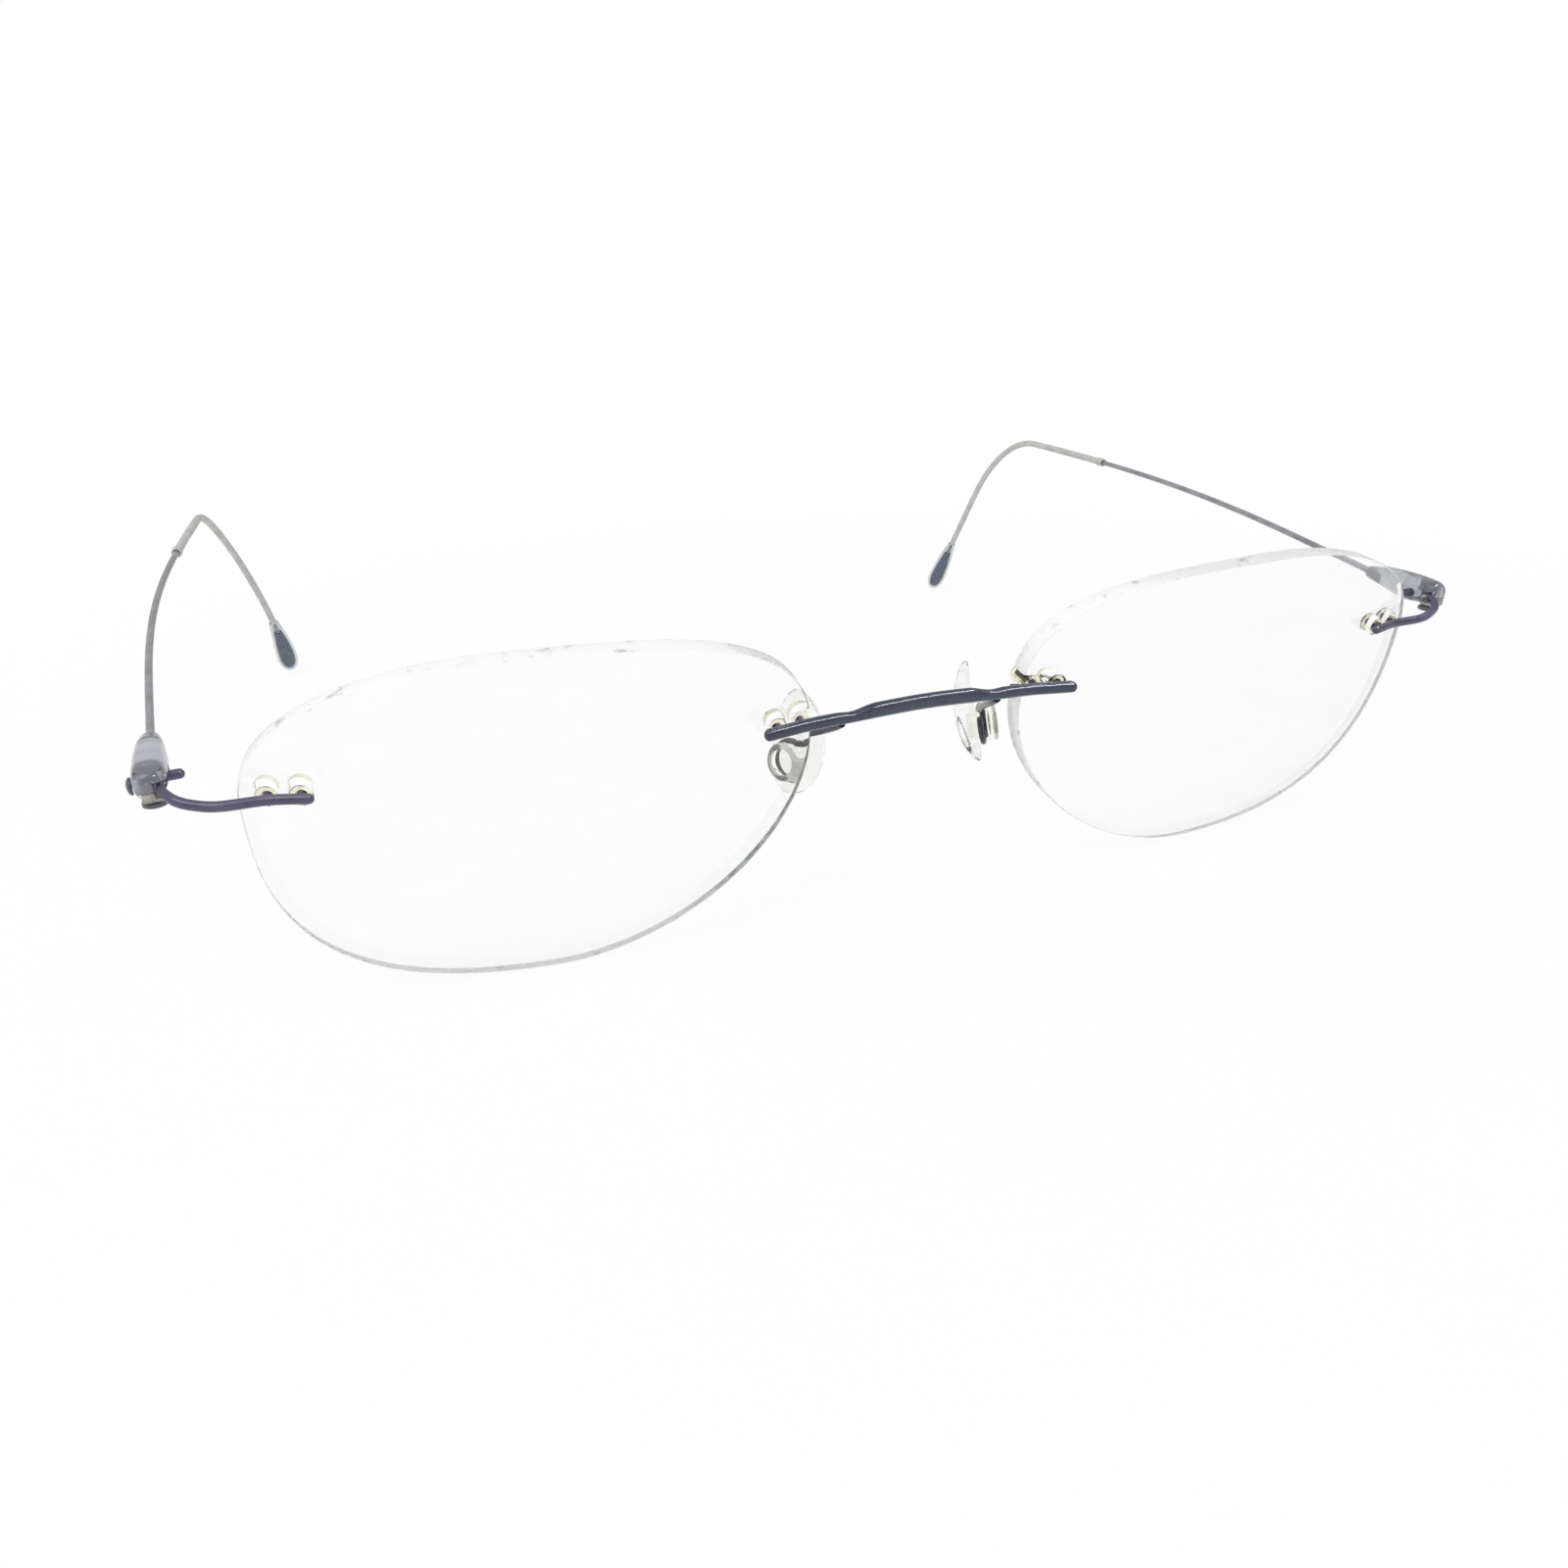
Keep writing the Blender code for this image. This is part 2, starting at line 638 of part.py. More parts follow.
def build_hinge_post(side_name, side, root, finish):
    """The post stands on a round foot below the housing, and the end piece's wire is coiled round it."""
    foot_top = -FOOT_BELOW
    foot_bottom = foot_top - FOOT_THICKNESS
    post_top = COIL_PITCH * COIL_TURNS + COIL_WIRE_RADIUS
    edge = FOOT_THICKNESS / 3
    profile = (
        (foot_bottom, FOOT_RADIUS - 2 * edge),
        (foot_bottom + edge / 2, FOOT_RADIUS - edge / 2),
        (foot_bottom + edge, FOOT_RADIUS),
        (foot_top - edge, FOOT_RADIUS),
        (foot_top, FOOT_RADIUS - edge),
        (foot_top, POST_RADIUS),
        (post_top - POST_RADIUS / 3, POST_RADIUS),
        (post_top, POST_RADIUS * 2 / 3),
    )
    add(f"hinge_post_{side_name}", turned(profile, "Z"), finish, root, HINGE, HOUSING_TURN, side)


def housing_sections():
    """Rings of the housing about its own axis.

    Shares run from 0 to 1 along the head round the hinge and on to 2 along the tail, and over the
    housing's width and height.
    """
    profile = (
        (0.000, 0.40, 0.40, -0.03),
        (0.024, 0.64, 0.62, -0.02),
        (0.080, 0.84, 0.78, -0.01),
        (0.200, 0.94, 0.86, 0.00),
        (0.400, 0.99, 0.93, -0.01),
        (0.680, 1.00, 1.00, -0.04),
        (0.980, 0.98, 0.99, -0.05),
        (1.280, 0.91, 0.89, -0.04),
        (1.560, 0.81, 0.74, -0.01),
        (1.800, 0.69, 0.58, REAR_LIFT),
        (1.930, 0.61, 0.50, REAR_LIFT),
        (2.000, 0.52, 0.44, REAR_LIFT),
    )
    tail = HOUSING_LENGTH - HOUSING_HEAD
    rings = []
    for along, width, height, lift in profile:
        back = min(along, 1) * HOUSING_HEAD + max(along - 1, 0) * tail
        middle = housing_axis(back) + lift * HOUSING_HEIGHT
        shape = ellipse(width * HOUSING_WIDTH / 2, height * HOUSING_HEIGHT / 2, HOUSING_SIDES, 2.35)
        rings.append([Vector((a, back - HOUSING_FRONT, middle + b)) for a, b in shape])
    return rings


def housing_axis(back):
    """Height of the housing's axis above the hinge's middle, at a distance from the housing's front."""
    return math.tan(math.radians(HOUSING_PITCH)) * (back - HOUSING_FRONT)


def wire_relief(low, high, reach):
    """The wedge round the post that the end piece's wire sweeps through as the temple folds."""
    outline = [(0.0, 0.0)]
    for i in range(9):
        angle = math.radians(mix(RELIEF_START, RELIEF_END, i / 8))
        outline.append((reach * math.cos(angle), reach * math.sin(angle)))
    return prism(outline, low, high)


def build_housing(side_name, side, hinge, finish):
    """A moulded housing: hollow round the post, open below, and bored for the cross pin and the ferrule."""
    mesh = loft(housing_sections())
    housing = add(f"hinge_housing_{side_name}", mesh, finish, hinge, turn=HOUSING_TURN, side=side)
    far = HOUSING_WIDTH
    cuts = {
        "cavity": turned(((-far, CAVITY_RADIUS), (CAVITY_TOP, CAVITY_RADIUS)), "Z"),
        "relief": wire_relief(RELIEF_BOTTOM, RELIEF_TOP, 1.2 * HOUSING_WIDTH),
        "block_window": box(
            (-BLOCK_HALF_WIDTH - FIT, -far, -far),
            (BLOCK_HALF_WIDTH + FIT, -BLOCK_WINDOW_FORWARD, BLOCK_BOTTOM + BLOCK_HEIGHT + FIT),
        ),
        "cross_bore": rod(
            Vector((-far, CROSS_PIN_BACK, -CROSS_PIN_DOWN)),
            Vector((far, CROSS_PIN_BACK, -CROSS_PIN_DOWN)),
            CROSS_PIN_RADIUS + FIT,
        ),
        "ferrule_bore": rod(
            ferrule_point(-FERRULE_LENGTH - FIT), ferrule_point(FERRULE_LENGTH), FERRULE_RADIUS + FIT
        ),
    }
    for name, mesh in cuts.items():
        shape_with(housing, "DIFFERENCE", f"{name}_{side_name}", mesh, side)


def ferrule_point(behind_rear):
    """A point on the ferrule's axis, in the housing's frame, at a distance behind its rear face."""
    rise = math.radians(TEMPLE_RISE_START)
    direction = Vector((0, math.cos(rise), math.sin(rise)))
    rear_middle = housing_axis(HOUSING_LENGTH) + REAR_LIFT * HOUSING_HEIGHT
    return Vector((0, HOUSING_LENGTH - HOUSING_FRONT, rear_middle)) + direction * behind_rear


def build_bearing_block(side_name, side, hinge, finish):
    """The block closes the housing's lower front and turns on the post."""
    low = (-BLOCK_HALF_WIDTH, -HOUSING_FRONT + FIT, BLOCK_BOTTOM)
    high = (BLOCK_HALF_WIDTH, BLOCK_BACK, BLOCK_BOTTOM + BLOCK_HEIGHT)
    block = add(f"bearing_block_{side_name}", box(low, high), finish, hinge, turn=HOUSING_TURN, side=side)
    bevel = block.modifiers.new("soft edges", "BEVEL")
    bevel.width = 0.00010
    bevel.segments = 1
    far = HOUSING_WIDTH
    bore = turned(((-far, POST_RADIUS + FIT), (far, POST_RADIUS + FIT)), "Z")
    shape_with(block, "DIFFERENCE", f"post_bore_{side_name}", bore, side)
    relief = wire_relief(RELIEF_BOTTOM, RELIEF_TOP, far)
    shape_with(block, "DIFFERENCE", f"block_relief_{side_name}", relief, side)


def build_cross_pin(side_name, side, hinge, finish):
    """The pin lies across the housing, with a domed head outside and a rounded end inside."""
    face = HOUSING_WIDTH / 2 + FIT
    radius = CROSS_PIN_RADIUS
    rise = CROSS_PIN_OUTER - face
    shank = [(-CROSS_PIN_INNER + d, r) for d, r in round_start(radius)]
    shank += [(-CROSS_PIN_INNER + radius, radius), (face + rise / 2, radius)]
    mesh = turned(shank, "X")
    bmesh.ops.translate(mesh, vec=(0, CROSS_PIN_BACK, -CROSS_PIN_DOWN), verts=mesh.verts)
    pin = add(f"cross_pin_{side_name}", mesh, finish, hinge, turn=HOUSING_TURN, side=side)
    shares = ((0.0, 0.94), (0.25, 1.0), (0.60, 0.86), (0.88, 0.55), (1.0, 0.22))
    head = turned([(face + rise * along, CROSS_PIN_HEAD * across) for along, across in shares], "X")
    middle = (0, CROSS_PIN_BACK - CROSS_PIN_HEAD_FORWARD, -CROSS_PIN_DOWN - CROSS_PIN_HEAD_DROP)
    bmesh.ops.translate(head, vec=middle, verts=head.verts)
    shape_with(pin, "UNION", f"pin_head_{side_name}", head, side)


# Temples ------------------------------------------------------------------------------------------


def temple_line():
    """The left temple's centre line from the back of its housing to its tip, in the hinge's frame.

    It rises and bows outward at first, turns down behind the ear, and drops level with the lens bottoms.
    """
    point = Euler(HOUSING_TURN).to_matrix() @ ferrule_point(0)
    line = [point.copy()]
    step = 0.0005
    bend = BEND_RADIUS * math.radians(TEMPLE_RISE_END - DROP_ANGLE)
    travelled = 0.0
    while HINGE.z + point.z > TIP_END_RISE:
        past_run = travelled - TEMPLE_RUN
        past_bend = past_run - bend
        pitch = mix(TEMPLE_RISE_START, TEMPLE_RISE_END, min(travelled / TEMPLE_RUN, 1))
        out = mix(TEMPLE_BOW_START, TEMPLE_BOW_END, smooth((travelled / TEMPLE_RUN - 0.08) / 0.75))
        if past_run > 0:
            pitch = mix(TEMPLE_RISE_END, DROP_ANGLE, min(past_run / bend, 1))
            out = mix(TEMPLE_BOW_END, DROP_TURN_IN, smooth(past_run / bend))
        if past_bend > 0:
            pitch = DROP_ANGLE + DROP_CURVE * past_bend
            out = DROP_TURN_IN + DROP_TURN_BACK * past_bend
        pitch, out = math.radians(pitch), math.radians(out)
        level = math.cos(out)
        forward = Vector((math.sin(out), level * math.cos(pitch), level * math.sin(pitch)))
        point = point + forward * step
        travelled += step
        line.append(point.copy())
    return line


def temple_stations(start, end):
    """Distances along the temple, close together in the bend and far apart on the straight run."""
    bend_start = TEMPLE_RUN - 0.001
    bend_end = TEMPLE_RUN + BEND_RADIUS * math.radians(TEMPLE_RISE_END - DROP_ANGLE)
    distances = []
    parts = ((start, bend_start, 0.0060), (bend_start, bend_end, 0.0019), (bend_end, end, 0.0030))
    for low, high, spacing in parts:
        low, high = max(low, start), min(high, end)
        if high > low:
            distances += spread(low, high, spacing)[1:]
    return distances


def build_temple(side_name, side, hinge, finishes):
    line = temple_line()
    total = length_of(line)
    tip_start = total - TIP_LENGTH
    core_reach = tip_start + TIP_LENGTH * WIRE_IN_TIP

    bore = FERRULE_RADIUS - FERRULE_WALL
    tail = bore - FIT
    stations = [(-FERRULE_LENGTH, tail), (-FIT / 2, tail), (FIT, TEMPLE_WIRE_RADIUS)]
    stations += [(d, TEMPLE_WIRE_RADIUS) for d in temple_stations(FIT, SLEEVE_START - 0.0004)]
    stations += [(SLEEVE_START + 0.0002, CORE_WIRE_RADIUS)]
    stations += [(d, CORE_WIRE_RADIUS) for d in temple_stations(SLEEVE_START + 0.0002, core_reach)]
    rings = rolled_sections(line, stations, 8)
    add(f"temple_wire_{side_name}", loft(rings), finishes["temple_wire"], hinge, side=side)

    outer = [(-FERRULE_LENGTH, FERRULE_RADIUS), (-1.2 * FIT, FERRULE_RADIUS)]
    rings = rolled_sections(line, outer, ROUND_SIDES)
    rings += rolled_sections(line, [(d, bore) for d, _ in reversed(outer)], ROUND_SIDES)
    add(f"wire_ferrule_{side_name}", loft(rings, closed=True), finishes["ferrule"], hinge, side=side)

    sleeve_end = tip_start - FIT
    step_start = SLEEVE_START + SLEEVE_STEP
    step_end = step_start + 0.0003
    outer = [
        (SLEEVE_START, SLEEVE_FRONT_RADIUS - 0.0001),
        (SLEEVE_START + 0.0001, SLEEVE_FRONT_RADIUS),
        (step_start, SLEEVE_FRONT_RADIUS),
        (step_end, SLEEVE_RADIUS),
    ]
    outer += [(d, SLEEVE_RADIUS) for d in temple_stations(step_end, sleeve_end)]
    mouth = TEMPLE_WIRE_RADIUS + FIT
    inner = [(SLEEVE_START, mouth), (SLEEVE_START + 0.0002, CORE_WIRE_RADIUS + FIT)]
    inner += [(d, CORE_WIRE_RADIUS + FIT) for d, _ in outer[2:]]
    rings = rolled_sections(line, outer, 8) + list(reversed(rolled_sections(line, inner, 8)))
    add(f"ear_sleeve_{side_name}", loft(rings, closed=True), finishes["sleeve"], hinge, side=side)

    build_tip(side_name, side, hinge, line, total, finishes)


def tip_share(share):
    """Width of the tip, as a share of its widest, at a share of its length."""
    if share < 0.72:
        return mix(TIP_START_SHARE, 1.0, math.sin(math.radians(90 * share / 0.72)))
    return math.sqrt(max(0, 1 - ((share - 0.72) / 0.28) ** 2.2))


def tip_hollow(share):
    """(half width, half depth) of the cover's hollow: a channel for the wire, then room for the core."""
    channel = CORE_WIRE_RADIUS + FIT
    return [max(channel, tip_share(share) * size / 2 - TIP_WALL) for size in (TIP_WIDTH, TIP_DEPTH)]


def build_tip(side_name, side, hinge, line, total, finishes):
    """The tip: a dark core on the wire's end, inside a clear cover that is open towards the sleeve."""
    tip_start = total - TIP_LENGTH
    outer = []
    for share in TIP_SHARES:
        swell = tip_share(share)
        outer.append((tip_start + TIP_LENGTH * share, swell * TIP_WIDTH / 2, swell * TIP_DEPTH / 2))
    hollow = [(tip_start + TIP_LENGTH * share, *tip_hollow(share)) for share in TIP_HOLLOW_SHARES]
    rings = sections_along(line, reversed(hollow), TIP_SIDES) + sections_along(line, outer, TIP_SIDES)
    add(f"temple_tip_{side_name}", loft(rings), finishes["tip_cover"], hinge, side=side)

    core = []
    for share in TIP_HOLLOW_SHARES:
        if share >= CORE_START:
            width, depth = tip_hollow(share)
            core.append((tip_start + TIP_LENGTH * share - FIT, width - FIT, depth - FIT))
    room = CORE_WIRE_RADIUS + FIT
    bore_end = tip_start + TIP_LENGTH * WIRE_IN_TIP + FIT
    bore = [(distance, room, room) for distance in spread(core[0][0], bore_end, 0.0012)]
    rings = sections_along(line, reversed(bore), TIP_SIDES) + sections_along(line, core, TIP_SIDES)
    add(f"tip_core_{side_name}", loft(rings), finishes["tip_core"], hinge, side=side)


# Nose pads ----------------------------------------------------------------------------------------


def pad_back(z):
    """Where the pad's back lies at a height above the eye, in the pad's frame; +x is away from the nose."""
    return -EYE_WIRE_RADIUS - EYE_ROOM - PAD_BACK_GAP + bow(z, PAD_FACE_RADIUS * 1.9)


def pad_face(z):
    return -EYE_WIRE_RADIUS - EYE_ROOM - PAD_BACK_GAP - PAD_THICKNESS + bow(z, PAD_FACE_RADIUS)


def bow(z, radius):
    offset = z - PAD_ABOVE_EYE
    return radius - math.sqrt(radius**2 - offset**2)


def build_pad(side_name, side, pivot, finish, insert_finish):
    def ring(scale, inward):
        """A ring round the pad: inward is 0 on its back and 1 on the face towards the nose."""
        points = []
        for across, up in ellipse(PAD_WIDTH / 2, PAD_HEIGHT / 2, PAD_SIDES, 2.2):
            narrowing = 1 - 0.16 * up / (PAD_HEIGHT / 2)
            y, z = across * scale * narrowing, up * scale + PAD_ABOVE_EYE
            edge = bow(PAD_ABOVE_EYE + y, PAD_FACE_RADIUS * 1.3)
            points.append(Vector((mix(pad_back(z), pad_face(z), inward) + edge, y, z)))
        return points

    rings = [ring(0.30, 0), ring(0.66, 0), ring(0.90, 0), ring(0.98, 0.18), ring(1.0, 0.50)]
    rings += [ring(0.97, 0.82), ring(0.88, 0.97), ring(0.62, 1.0), ring(0.28, 1.0)]
    pad = add(f"nose_pad_{side_name}", loft(rings), finish, pivot, side=side)
    socket_bottom = pad_back(0) - PAD_SOCKET
    socket = turned(((socket_bottom, INSERT_NECK_RADIUS + FIT), (0, INSERT_NECK_RADIUS + FIT)), "X")
    shape_with(pad, "DIFFERENCE", f"pad_socket_{side_name}", socket, side)

    rim_start = EYE_WIRE_RADIUS + EYE_ROOM
    rim_end = rim_start + INSERT_RIM_DEPTH
    edge = 0.00015
    neck_end = socket_bottom + FIT
    profile = (
        (neck_end, INSERT_HOLE_RADIUS),
        (neck_end, INSERT_NECK_RADIUS),
        (rim_start, INSERT_NECK_RADIUS),
        (rim_start, INSERT_RIM_RADIUS - edge),
        (rim_start + edge, INSERT_RIM_RADIUS),
        (rim_end - edge, INSERT_RIM_RADIUS),
        (rim_end, INSERT_RIM_RADIUS - edge),
        (rim_end, INSERT_HOLE_RADIUS + edge),
        (rim_end - edge, INSERT_HOLE_RADIUS),
    )
    insert = turned(profile, "X", closed=True)
    add(f"pad_insert_{side_name}", insert, insert_finish, pivot, side=side)


def build_pad_arm(side_name, side, root, finish):
    """A wire from the underside of the bridge bar, down and back to an eye round the pad insert's neck."""
    to_eye = Matrix.Translation(PAD_EYE) @ Euler(PAD_TURN).to_matrix().to_4x4()
    eye_radius = INSERT_NECK_RADIUS + FIT + EYE_WIRE_RADIUS
    back, up, _, half_height = bar_shape(PAD_ARM_ROOT_X)
    below_bar = up - half_height - FIT - 0.00004
    top = FRONT @ Vector((PAD_ARM_ROOT_X, back + PAD_ARM_SET_BACK, below_bar))
    eye = []
    for i in range(23):
        angle = math.radians(mix(112, -222, i / 22))
        eye.append(to_eye @ Vector((0, eye_radius * math.cos(angle), eye_radius * math.sin(angle))))
    lead = to_eye @ Vector((0.00010, -eye_radius * 0.95, eye_radius * 1.25))
    points = [
        top,
        top + Vector((0.00015, 0.00095, -0.00055)),
        mix(top, lead, 0.52) + Vector((-0.00010, 0.00010, -0.00015)),
        lead,
        *eye,
    ]
    line = through(points, 6)
    total = length_of(line)
    at_eye = nearest_distance(line, eye[0])
    stations = []
    for d in spread(0, at_eye, 0.0009):
        stations.append((d, mix(PAD_ARM_ROOT_RADIUS, EYE_WIRE_RADIUS, smooth(1.15 * d / at_eye))))
    stations += [(d, EYE_WIRE_RADIUS) for d in spread(at_eye, total, 0.00075)[1:]]
    add(f"pad_arm_{side_name}", loft(rolled_sections(line, stations, 8)), finish, root, side=side)


# Assembly -----------------------------------------------------------------------------------------


def make_finishes():
    return {
        "lens": material("lens", (0.97, 0.98, 0.98), 0.02, transmission=1.0),
        "bridge": material("bridge lacquer", (0.020, 0.022, 0.045), 0.25, metallic=0.2),
        "endpiece": material("end piece lacquer", (0.070, 0.058, 0.105), 0.32, metallic=0.35),
        "bushing": material("bushing plastic", (0.92, 0.86, 0.60), 0.15, transmission=0.9),
        "post": material("hinge steel", (0.050, 0.045, 0.070), 0.30, metallic=0.6),
        "pad_arm": material("pad arm lacquer", (0.040, 0.038, 0.055), 0.30, metallic=0.5),
        "pad": material("pad silicone", (0.96, 0.95, 0.88), 0.12, transmission=0.95),
        "insert": material("pad insert plastic", (0.62, 0.56, 0.50), 0.15, transmission=0.8),
        "housing": material("housing plastic", (0.40, 0.43, 0.46), 0.18, transmission=0.6),
        "block": material("bearing plastic", (0.62, 0.62, 0.46), 0.25, transmission=0.6),
        "cross_pin": material("cross pin lacquer", (0.035, 0.032, 0.060), 0.28, metallic=0.4),
        "ferrule": material("ferrule metal", (0.20, 0.19, 0.24), 0.35, metallic=0.7),
        "temple_wire": material("temple lacquer", (0.14, 0.12, 0.17), 0.33, metallic=0.4),
        "sleeve": material("sleeve silicone", (0.48, 0.48, 0.42), 0.45),
        "tip_core": material("tip core plastic", (0.15, 0.16, 0.23), 0.40),
        "tip_cover": material("tip cover silicone", (0.93, 0.94, 0.93), 0.15, transmission=0.95),
    }


def centre_over_ground(root):
    """Moves the glasses so that the origin is under the middle of their bounding box."""
    bpy.context.view_layer.update()
    graph = bpy.context.evaluated_depsgraph_get()
    low, high = Vector((1, 1, 1)), Vector((-1, -1, -1))
    for thing in bpy.data.objects:
        if thing.type != "MESH" or thing.hide_render:
            continue
        shown = thing.evaluated_get(graph)
        for vertex in shown.data.vertices:
            point = shown.matrix_world @ vertex.co
            low = Vector(map(min, low, point))
            high = Vector(map(max, high, point))
    root.location = (-(low.x + high.x) / 2, -(low.y + high.y) / 2, -low.z)
    bpy.context.view_layer.update()


def main():
    clear_scene()
    finishes = make_finishes()
    root = empty("eyeglasses", None)
    front = empty("front", root, FRONT.translation, (math.radians(LENS_TILT), 0, 0))
    build_bridge(front, finishes["bridge"])
    for side_name, side in SIDES:
        build_lens(side_name, side, front, finishes["lens"])
        build_bushings(side_name, side, front, finishes["bushing"])
        build_endpiece(side_name, side, root, finishes["endpiece"])
        build_hinge_post(side_name, side, root, finishes["post"])
        build_pad_arm(side_name, side, root, finishes["pad_arm"])
        pad_pivot = empty(f"pad_pivot_{side_name}", root, PAD_EYE, PAD_TURN, side)
        build_pad(side_name, side, pad_pivot, finishes["pad"], finishes["insert"])
        hinge = empty(f"temple_hinge_{side_name}", root, HINGE, side=side)
        build_housing(side_name, side, hinge, finishes["housing"])
        build_bearing_block(side_name, side, hinge, finishes["block"])
        build_cross_pin(side_name, side, hinge, finishes["cross_pin"])
        build_temple(side_name, side, hinge, finishes)
    centre_over_ground(root)


main()
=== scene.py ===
import json
import math

import bmesh
import bpy
from bpy.props import FloatProperty, FloatVectorProperty, IntProperty, PointerProperty
from bpy.types import Operator, Panel, PropertyGroup
from mathutils import Euler, Matrix, Vector


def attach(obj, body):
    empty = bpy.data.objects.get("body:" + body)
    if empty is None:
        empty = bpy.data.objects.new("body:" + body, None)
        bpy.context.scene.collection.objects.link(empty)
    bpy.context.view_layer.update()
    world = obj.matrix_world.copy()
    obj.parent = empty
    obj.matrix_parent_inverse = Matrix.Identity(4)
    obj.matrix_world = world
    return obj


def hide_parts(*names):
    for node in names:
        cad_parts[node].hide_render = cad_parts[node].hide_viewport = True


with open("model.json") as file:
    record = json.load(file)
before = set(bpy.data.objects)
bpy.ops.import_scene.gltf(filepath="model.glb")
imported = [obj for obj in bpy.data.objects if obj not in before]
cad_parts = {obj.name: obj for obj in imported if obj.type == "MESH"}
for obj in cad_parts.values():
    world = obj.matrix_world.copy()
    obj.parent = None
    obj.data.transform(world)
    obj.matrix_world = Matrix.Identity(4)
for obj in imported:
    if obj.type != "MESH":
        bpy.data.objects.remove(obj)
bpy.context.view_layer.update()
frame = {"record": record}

bl_info = {
    "name": "Rimless Eyeglasses",
    "version": (1, 0, 0),
    "blender": (4, 5, 0),
    "location": "View3D > Sidebar > Eyeglasses",
    "description": "Dresses rimless eyeglasses: drilled lenses, wire temples, hinges and nose pads",
    "category": "Add Mesh",
}

# The sizes are those of the frame's solids, in metres and degrees.

# Lenses
LENS_WIDTH = 0.04805
LENS_ABOVE = 0.01190
LENS_BELOW = 0.02090
LENS_THICKNESS = 0.0020
LENS_FACE_RADIUS = 0.100
LENS_BEVEL = 0.00015
LENS_OUTLINE_TURN = 1.96
LENS_WRAP = 2.4
LENS_TILT = 11.24
BRIDGE_WIDTH = 0.02158
CORNER_NOSE_TOP = 2.86
CORNER_NOSE_BOTTOM = 1.80
CORNER_TEMPLE_TOP = 2.10
CORNER_TEMPLE_BOTTOM = 2.90

# Holes and bushings
NOTCH_FROM_NOSE_EDGE = 0.00110
HOLE_FROM_NOSE_EDGE = 0.00345
OUTER_HOLE_FROM_TEMPLE_EDGE = 0.00235
INNER_HOLE_FROM_TEMPLE_EDGE = 0.00495
NOSE_PINS_UP = 0.00190
NOSE_HOLE_DROP = 0.00012
TEMPLE_PINS_UP = 0.00170
PIN_RADIUS = 0.00036
BUSHING_RADIUS = 0.00085
BUSHING_INSET = 0.00005
COLLAR_RADIUS = 0.00097
COLLAR_DEPTH = 0.00032
COLLAR_EDGE = 0.00012
BUSHING_EDGE = 0.00004
FIT = 0.00010

# Bridge bar
BAR_END_RADIUS = 0.00057
BAR_NECK_RADIUS = 0.00051
BAR_MIDDLE_HEIGHT = 0.00170
BAR_MIDDLE_DEPTH = 0.00120
BAR_OVERHANG = 0.00150
BAR_STANDOFF = 0.00025
BAR_NECK_X = 0.00720
BAR_SHOULDER = 0.00130
BAR_RISE = 0.00033
BAR_SET_BACK = 0.00115
BAR_SPACING = 0.0003
# How square the bar's section is: 2 would be an ellipse.
BAR_SQUARENESS = 2.2
# How much the polishing takes off the top and the bottom of the bar's middle.
BAR_SLIMMED = 0.00012
# How far the bar's raised middle blends into its necks.
BAR_MIDDLE_BLEND = 0.0026
# How far the bar's arch takes up the slope of its ends, which follow the lenses.
BAR_ARCH = 0.7

# End pieces
WIRE_RADIUS = 0.00045
ENDPIECE_OVERHANG = 0.00100
ENDPIECE_SPACING = 0.00014
CORNER_EASING = 0.0009
# The wire's route: (out, back, down) where it leaves the lens, then (x, y, z) from the hinge's middle.
WIRE_BESIDE_LENS = (0.0012, 0.0027, 0.00080)
WIRE_CORNER = (
    (-0.0029, -0.0031, -0.00130),
    (-0.0020, -0.0027, -0.00108),
    (-0.0013, -0.0020, -0.00066),
    (-0.00082, -0.0011, -0.00024),
)

# Hinges
HINGE_OUT = 0.00607
HINGE_BACK = 0.00676
HINGE_UP = 0.00262
POST_RADIUS = 0.00025
FOOT_RADIUS = 0.00100
FOOT_THICKNESS = 0.00052
FOOT_BELOW = 0.00155
COIL_WIRE_RADIUS = 0.00023
COIL_TURNS = 1.15
COIL_PITCH = 0.00058
COIL_START = -0.00006

# Hinge housings
HOUSING_LENGTH = 0.01240
HOUSING_HEAD = 0.00620
HOUSING_YAW = 7.4
HOUSING_PITCH = 1.8
REAR_LIFT = -0.02
CAVITY_ROOM = 0.00012
CAVITY_RADIUS = POST_RADIUS + 2 * FIT + 2 * COIL_WIRE_RADIUS + CAVITY_ROOM
CAVITY_TOP = COIL_PITCH * COIL_TURNS + COIL_WIRE_RADIUS + FIT
HOUSING_WALL = 0.00034
HOUSING_ROOF = 0.000503
HOUSING_WIDTH = 2 * (CAVITY_RADIUS + HOUSING_WALL)
HOUSING_HEIGHT = 2 * (CAVITY_TOP + HOUSING_ROOF)
HOUSING_FRONT = CAVITY_RADIUS + HOUSING_WALL
HOUSING_SQUARENESS = 2.35
FRONT_BULGE = 0.00004
REAR_BULGE = 0.00002
RELIEF_BOTTOM = -0.00108
RELIEF_TOP = 0.00026
RELIEF_START = 106
RELIEF_END = 262
BLOCK_HALF_WIDTH = 0.00080
BLOCK_BACK = 0.00045
BLOCK_BOTTOM = -0.00136
BLOCK_HEIGHT = 0.00078
BLOCK_WINDOW_FORWARD = 0.00015
BLOCK_BEVEL = 0.00010
CROSS_PIN_BACK = 0.00235
CROSS_PIN_DOWN = 0.00052
CROSS_PIN_RADIUS = 0.00044
CROSS_PIN_INNER = 0.00245
CROSS_PIN_OUTER = 0.00194
CROSS_PIN_HEAD = 0.00076
CROSS_PIN_HEAD_DROP = 0.00025
CROSS_PIN_HEAD_FORWARD = 0.00025
FERRULE_RADIUS = 0.00048
